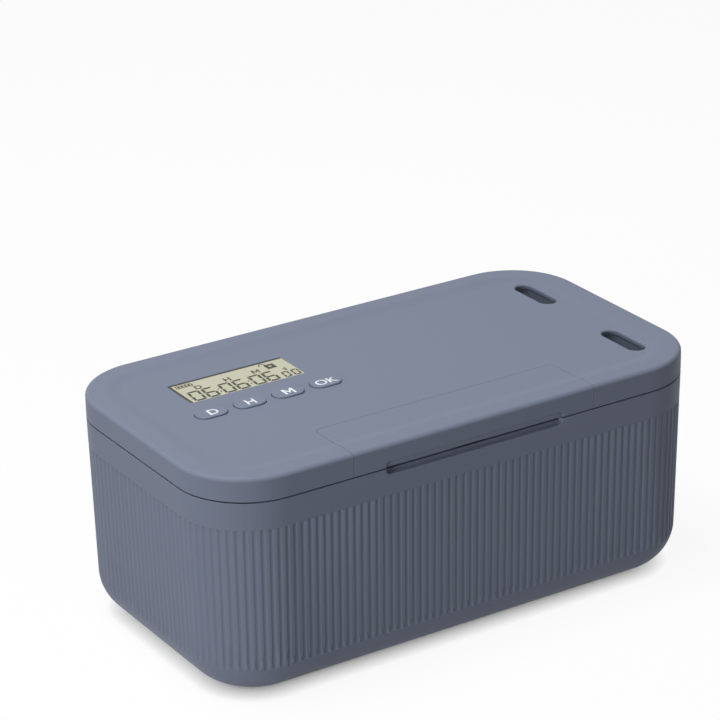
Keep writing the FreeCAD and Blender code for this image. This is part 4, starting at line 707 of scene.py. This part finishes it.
for left, right, front, rear in BATTERY_CASE + BATTERY_CHARGE + PADLOCK_BODY + SHACKLE_LEGS:
    print_and_shadow.add(oblong(ART_X + left, ART_X + right, ART_Y + front, ART_Y + rear),
            INK_LOW, INK_HIGH)
for k in range(SHACKLE_STEPS):
    start, end = (math.pi * j / SHACKLE_STEPS for j in (k, k + OVERLAP))
    outside, inside = (SHACKLE_RADIUS + way * SHACKLE_STROKE / 2 for way in (1, -1))
    print_and_shadow.add([(ART_X + SHACKLE_X + r * math.cos(t), ART_Y + SHACKLE_Y + r * math.sin(t))
             for r, t in ((outside, start), (outside, end), (inside, end), (inside, start))],
            INK_LOW, INK_HIGH)
# The dark print together with the painted shadow strips, made one object.
print_and_shadow.object("display_segments", segment_ink, "lid", "display_glass")

# %% [markdown]
# ## Letters
# The keys carry plain white letters, and the display small ones over its numbers. Letters are
# outlines with holes, which a font already holds, so each is set as text, given a hair of
# thickness, made a plain mesh and only then laid in its place. The font's M loses its inner
# corners when its strokes are made heavier, so that one is drawn.


# %% Outlines of letters
M_STEM, CURVE_STEPS = 0.15, 6


def m_outline(stem):
    """The letter M as one outline with sharp inner corners, one unit wide and tall."""
    top, low, steep = stem * 1.1, 0.16, 1.75
    dip = 1 - steep * (0.5 - top)
    inner = low + steep * (0.5 - stem)
    half = [(0.0, 0.0), (stem, 0.0), (stem, inner), (0.5, low)]
    upper = [(0.5, dip), (top, 1.0), (0.0, 1.0)]
    mirrored = [(1 - x, y) for x, y in half[:-1][::-1]] + [(1 - x, y) for x, y in upper[:0:-1]]
    return half + mirrored + upper


def flat_text(text, heavy):
    """Flat outlines; heavy spreads the strokes, in parts of the letter's height."""
    if text == "M":
        mesh = bpy.data.meshes.new("flat")
        points = [(x, y, 0.0) for x, y in m_outline(M_STEM + heavy * 2)]
        mesh.from_pydata(points, [], [list(range(len(points)))])
        return mesh
    curve = bpy.data.curves.new("flat", "FONT")
    curve.body, curve.resolution_u, curve.offset = text, CURVE_STEPS, heavy
    flat = placed("flat", curve)
    bpy.context.view_layer.update()
    mesh = bpy.data.meshes.new_from_object(
        flat.evaluated_get(bpy.context.evaluated_depsgraph_get()))
    bpy.data.objects.remove(flat)
    return mesh


# %% Letters
HEAVY, LETTER_WELD = 0.02, 1e-6


def letters(name, text, centre, tall, z, material, body, lean=0.0, thick=0.05):
    """Text whose capitals are this tall, about a centre; lengths in millimetres."""
    flat = flat_text(text, HEAVY)
    solid = bmesh.new()
    solid.from_mesh(flat)
    bpy.data.meshes.remove(flat)
    bmesh.ops.remove_doubles(solid, verts=solid.verts, dist=LETTER_WELD)
    low, high = ([pick(v.co[k] for v in solid.verts) for k in (0, 1)] for pick in (min, max))
    scale = tall * MM / (high[1] - low[1])
    walls = bmesh.ops.extrude_face_region(solid, geom=solid.faces[:])
    raised = {v for v in walls["geom"] if isinstance(v, bmesh.types.BMVert)}
    for v in solid.verts:
        x, y = ((v.co[k] - (low[k] + high[k]) / 2) * scale for k in (0, 1))
        lift = thick / 2 if v in raised else -thick / 2
        v.co = (centre[0] * MM + x + lean * y, centre[1] * MM + y, (z + lift) * MM)
    made = placed(name, finished(name, solid))
    made.data.materials.clear()
    made.data.materials.append(material)
    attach(made, body)


# %% Letters on the keys and over the numbers
# Each key's letter, and how far right of the key's middle it stands. All in millimetres.
KEY_LETTERS = {"days": ("D", 0.8), "hours": ("H", 0.3), "minutes": ("M", 0.3), "ok": ("OK", 0.3)}
LETTER_TALL, LETTER_FORWARD, LETTER_PROUD = 5.0, 0.1, 0.01
SIGNS = (("sign_days", "D", 8.9, 13.5, 3.5), ("sign_hours", "H", 22.8, 13.6, 3.5),
         ("sign_minutes", "M", 36.7, 13.7, 3.4), ("sign_seconds", "S", 48.4, 9.3, 2.6))

for word, (text, aside) in KEY_LETTERS.items():
    low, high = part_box(f"key_{word}")
    x, y = ((low[k] + high[k]) / 2 / MM for k in (0, 1))
    letters(f"letter_{word}", text, (x + aside, y - LETTER_FORWARD), LETTER_TALL,
            high[2] / MM + LETTER_PROUD, white_ink, f"{word}_key")
for name, text, x, y, tall in SIGNS:
    letters(name, text, (ART_X + x, ART_Y + y), tall, (INK_LOW + INK_HIGH) / 2, segment_ink,
            "lid", lean=SLANT, thick=INK_HIGH - INK_LOW)
print("letters laid on", len(KEY_LETTERS), "keys and over", len(SIGNS), "numbers")

# %% [markdown]
# ## Inside the lid
# The lock, the board and the cells are hidden until the lid stands open, but each has the finish
# of what it is made of: plated steel with the faint lines of rolling, milky nylon, glass-fibre
# board with its copper lines, and sleeved cells with a bright end.

# %% Metals
GRAIN, SMEAR, DULLED = 900.0, 120.0, 0.82


def metal(name, shade, rough, lines=None, depth=0.004):
    """Rolled or drawn metal; lines gives how much longer the grain is along each axis."""
    finish = Finish(name)
    where = finish.place()
    if lines:
        where = finish.node("ShaderNodeMapping", None, {"Vector": where, "Scale": lines})
    grain = finish.noise(GRAIN, detail=3.0, where=where)
    dark = tuple(v * DULLED for v in shade)
    return finish.surface(Base_Color=finish.blend(finish.noise(SMEAR), dark, shade),
                          Metallic=1.0, Roughness=rough + (grain - 0.5) * 0.16,
                          Normal=finish.bump(grain, depth * MM))


coat(metal("plated_steel", (0.62, 0.63, 0.64), 0.30, lines=(0.08, 1.0, 1.0)),
     "strike_plate", "strike_screws", "liner_screws", "board_screws", "guide_screws",
     "strap_screw", "hinge_pins", "drive_shaft", "motor_strap")
coat(metal("motor_steel", (0.52, 0.52, 0.52), 0.36, lines=(1.0, 0.1, 0.1)), "lock_motor")
coat(metal("magnet_plating", (0.70, 0.70, 0.72), 0.18), "sensor_magnet")
coat(metal("contact_plate", (0.72, 0.70, 0.66), 0.25, lines=(1.0, 0.1, 1.0)),
     "battery_contacts", "battery_springs", "reed_wires")
print("metals on")

# %% Rubber, nylon, wire and small plastics
coat(moulded("foot_rubber", (0.035, 0.036, 0.038), grain=0.5, depth=0.02, rough=0.82, shine=0.25),
     "rubber_feet")
coat(moulded("nylon_white", (0.62, 0.61, 0.56), grain=0.6, rough=0.42, drift=0.03, shine=0.5),
     "motor_cradle", "bolt_guide", "lock_bolt", "drive_pinion")
coat(moulded("gearbox_plastic", (0.05, 0.052, 0.056), rough=0.45), "motor_gearbox")
coat(moulded("switch_plastic", (0.03, 0.03, 0.032), rough=0.4), "switch_bodies", "sounder",
     *(f"plunger_{word}" for word in KEY_LETTERS))
coat(moulded("frame_plastic", (0.045, 0.046, 0.05), rough=0.6), "lcd_frame")
coat(moulded("contact_rubber", (0.12, 0.12, 0.125), grain=0.3, rough=0.75), "contact_strips")
coat(moulded("chip_epoxy", (0.02, 0.02, 0.021), grain=0.25, rough=0.5), "controller_chip")
coat(moulded("wire_insulation", (0.30, 0.02, 0.018), grain=0.4, depth=0.004, rough=0.35,
             drift=0.08), "motor_wires")
print("small plastics on")

# %% Reed switch glass
reed = Finish("reed_glass")
reed_band = reed.noise(400.0)
coat(reed.surface(Base_Color=reed.blend(reed_band, (0.55, 0.62, 0.55), (0.68, 0.74, 0.68)),
                  Roughness=0.06 + reed_band * 0.05, Coat_Weight=0.6), "reed_switch")
print("reed switch in glass")

# %% Circuit board
# Copper lines run both ways, a pitch apart in millimetres, and patches of noise choose where.
HALF_PITCH, HALF_LINE = 1.27, 0.22

board = Finish("board_laminate")
along_x, along_y = (
    board.node("ShaderNodeSeparateXYZ", None, {0: board.place()}, take=axis) * (1 / MM)
    for axis in ("X", "Y"))
field = board.noise(45.0, detail=0.0)
tracks = ((along_x.folded(HALF_PITCH) < HALF_LINE) * (field > 0.5)
          + (along_y.folded(HALF_PITCH) < HALF_LINE) * (field < 0.47))
coat(board.surface(Base_Color=board.blend(tracks, (0.012, 0.085, 0.032), (0.03, 0.16, 0.06)),
                   Roughness=0.35 + board.noise(700.0) * 0.1, Coat_Weight=0.3,
                   Normal=board.bump(tracks, 0.03 * MM)), "circuit_board")
print("board tracks every", 2 * HALF_PITCH, "mm")

# %% [markdown]
# ## Cells
# Three small round cells lie side by side, turned about. A cell is a steel can in a printed
# sleeve: blue green along its length, with one pale band towards its raised end, and bare steel at
# both faces. The bands follow the cell's length, so they are steps along X, set out from the end
# that carries the contact.

# %% Cells
BAND_START, BAND_END = 6.0 * MM, 9.5 * MM
SLEEVE_START, SLEEVE_END = 1.2 * MM, 43.9 * MM
SLEEVE_GREEN, BAND_PALE = (0.010, 0.075, 0.115), (0.52, 0.56, 0.56)


def sleeve(name, node_name, points_right):
    low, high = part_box(node_name)
    finish = Finish(name)
    x = finish.node("ShaderNodeSeparateXYZ", None, {0: finish.place()})
    reach = high[0] - x if points_right else x - low[0]
    band = (reach > BAND_START) * (reach < BAND_END)
    steel = (reach < SLEEVE_START) + (reach > SLEEVE_END)
    body = finish.blend(band, SLEEVE_GREEN, BAND_PALE)
    return finish.surface(Base_Color=finish.blend(steel, body, grey(0.62)), Metallic=steel,
                          Roughness=0.28 + finish.noise(1500.0) * 0.12, Coat_Weight=0.25)


for k, points_right in ((1, True), (2, False), (3, True)):
    coat(sleeve(f"cell_jacket_{k}", f"battery_{k}", points_right), f"battery_{k}")
print("cells sleeved")
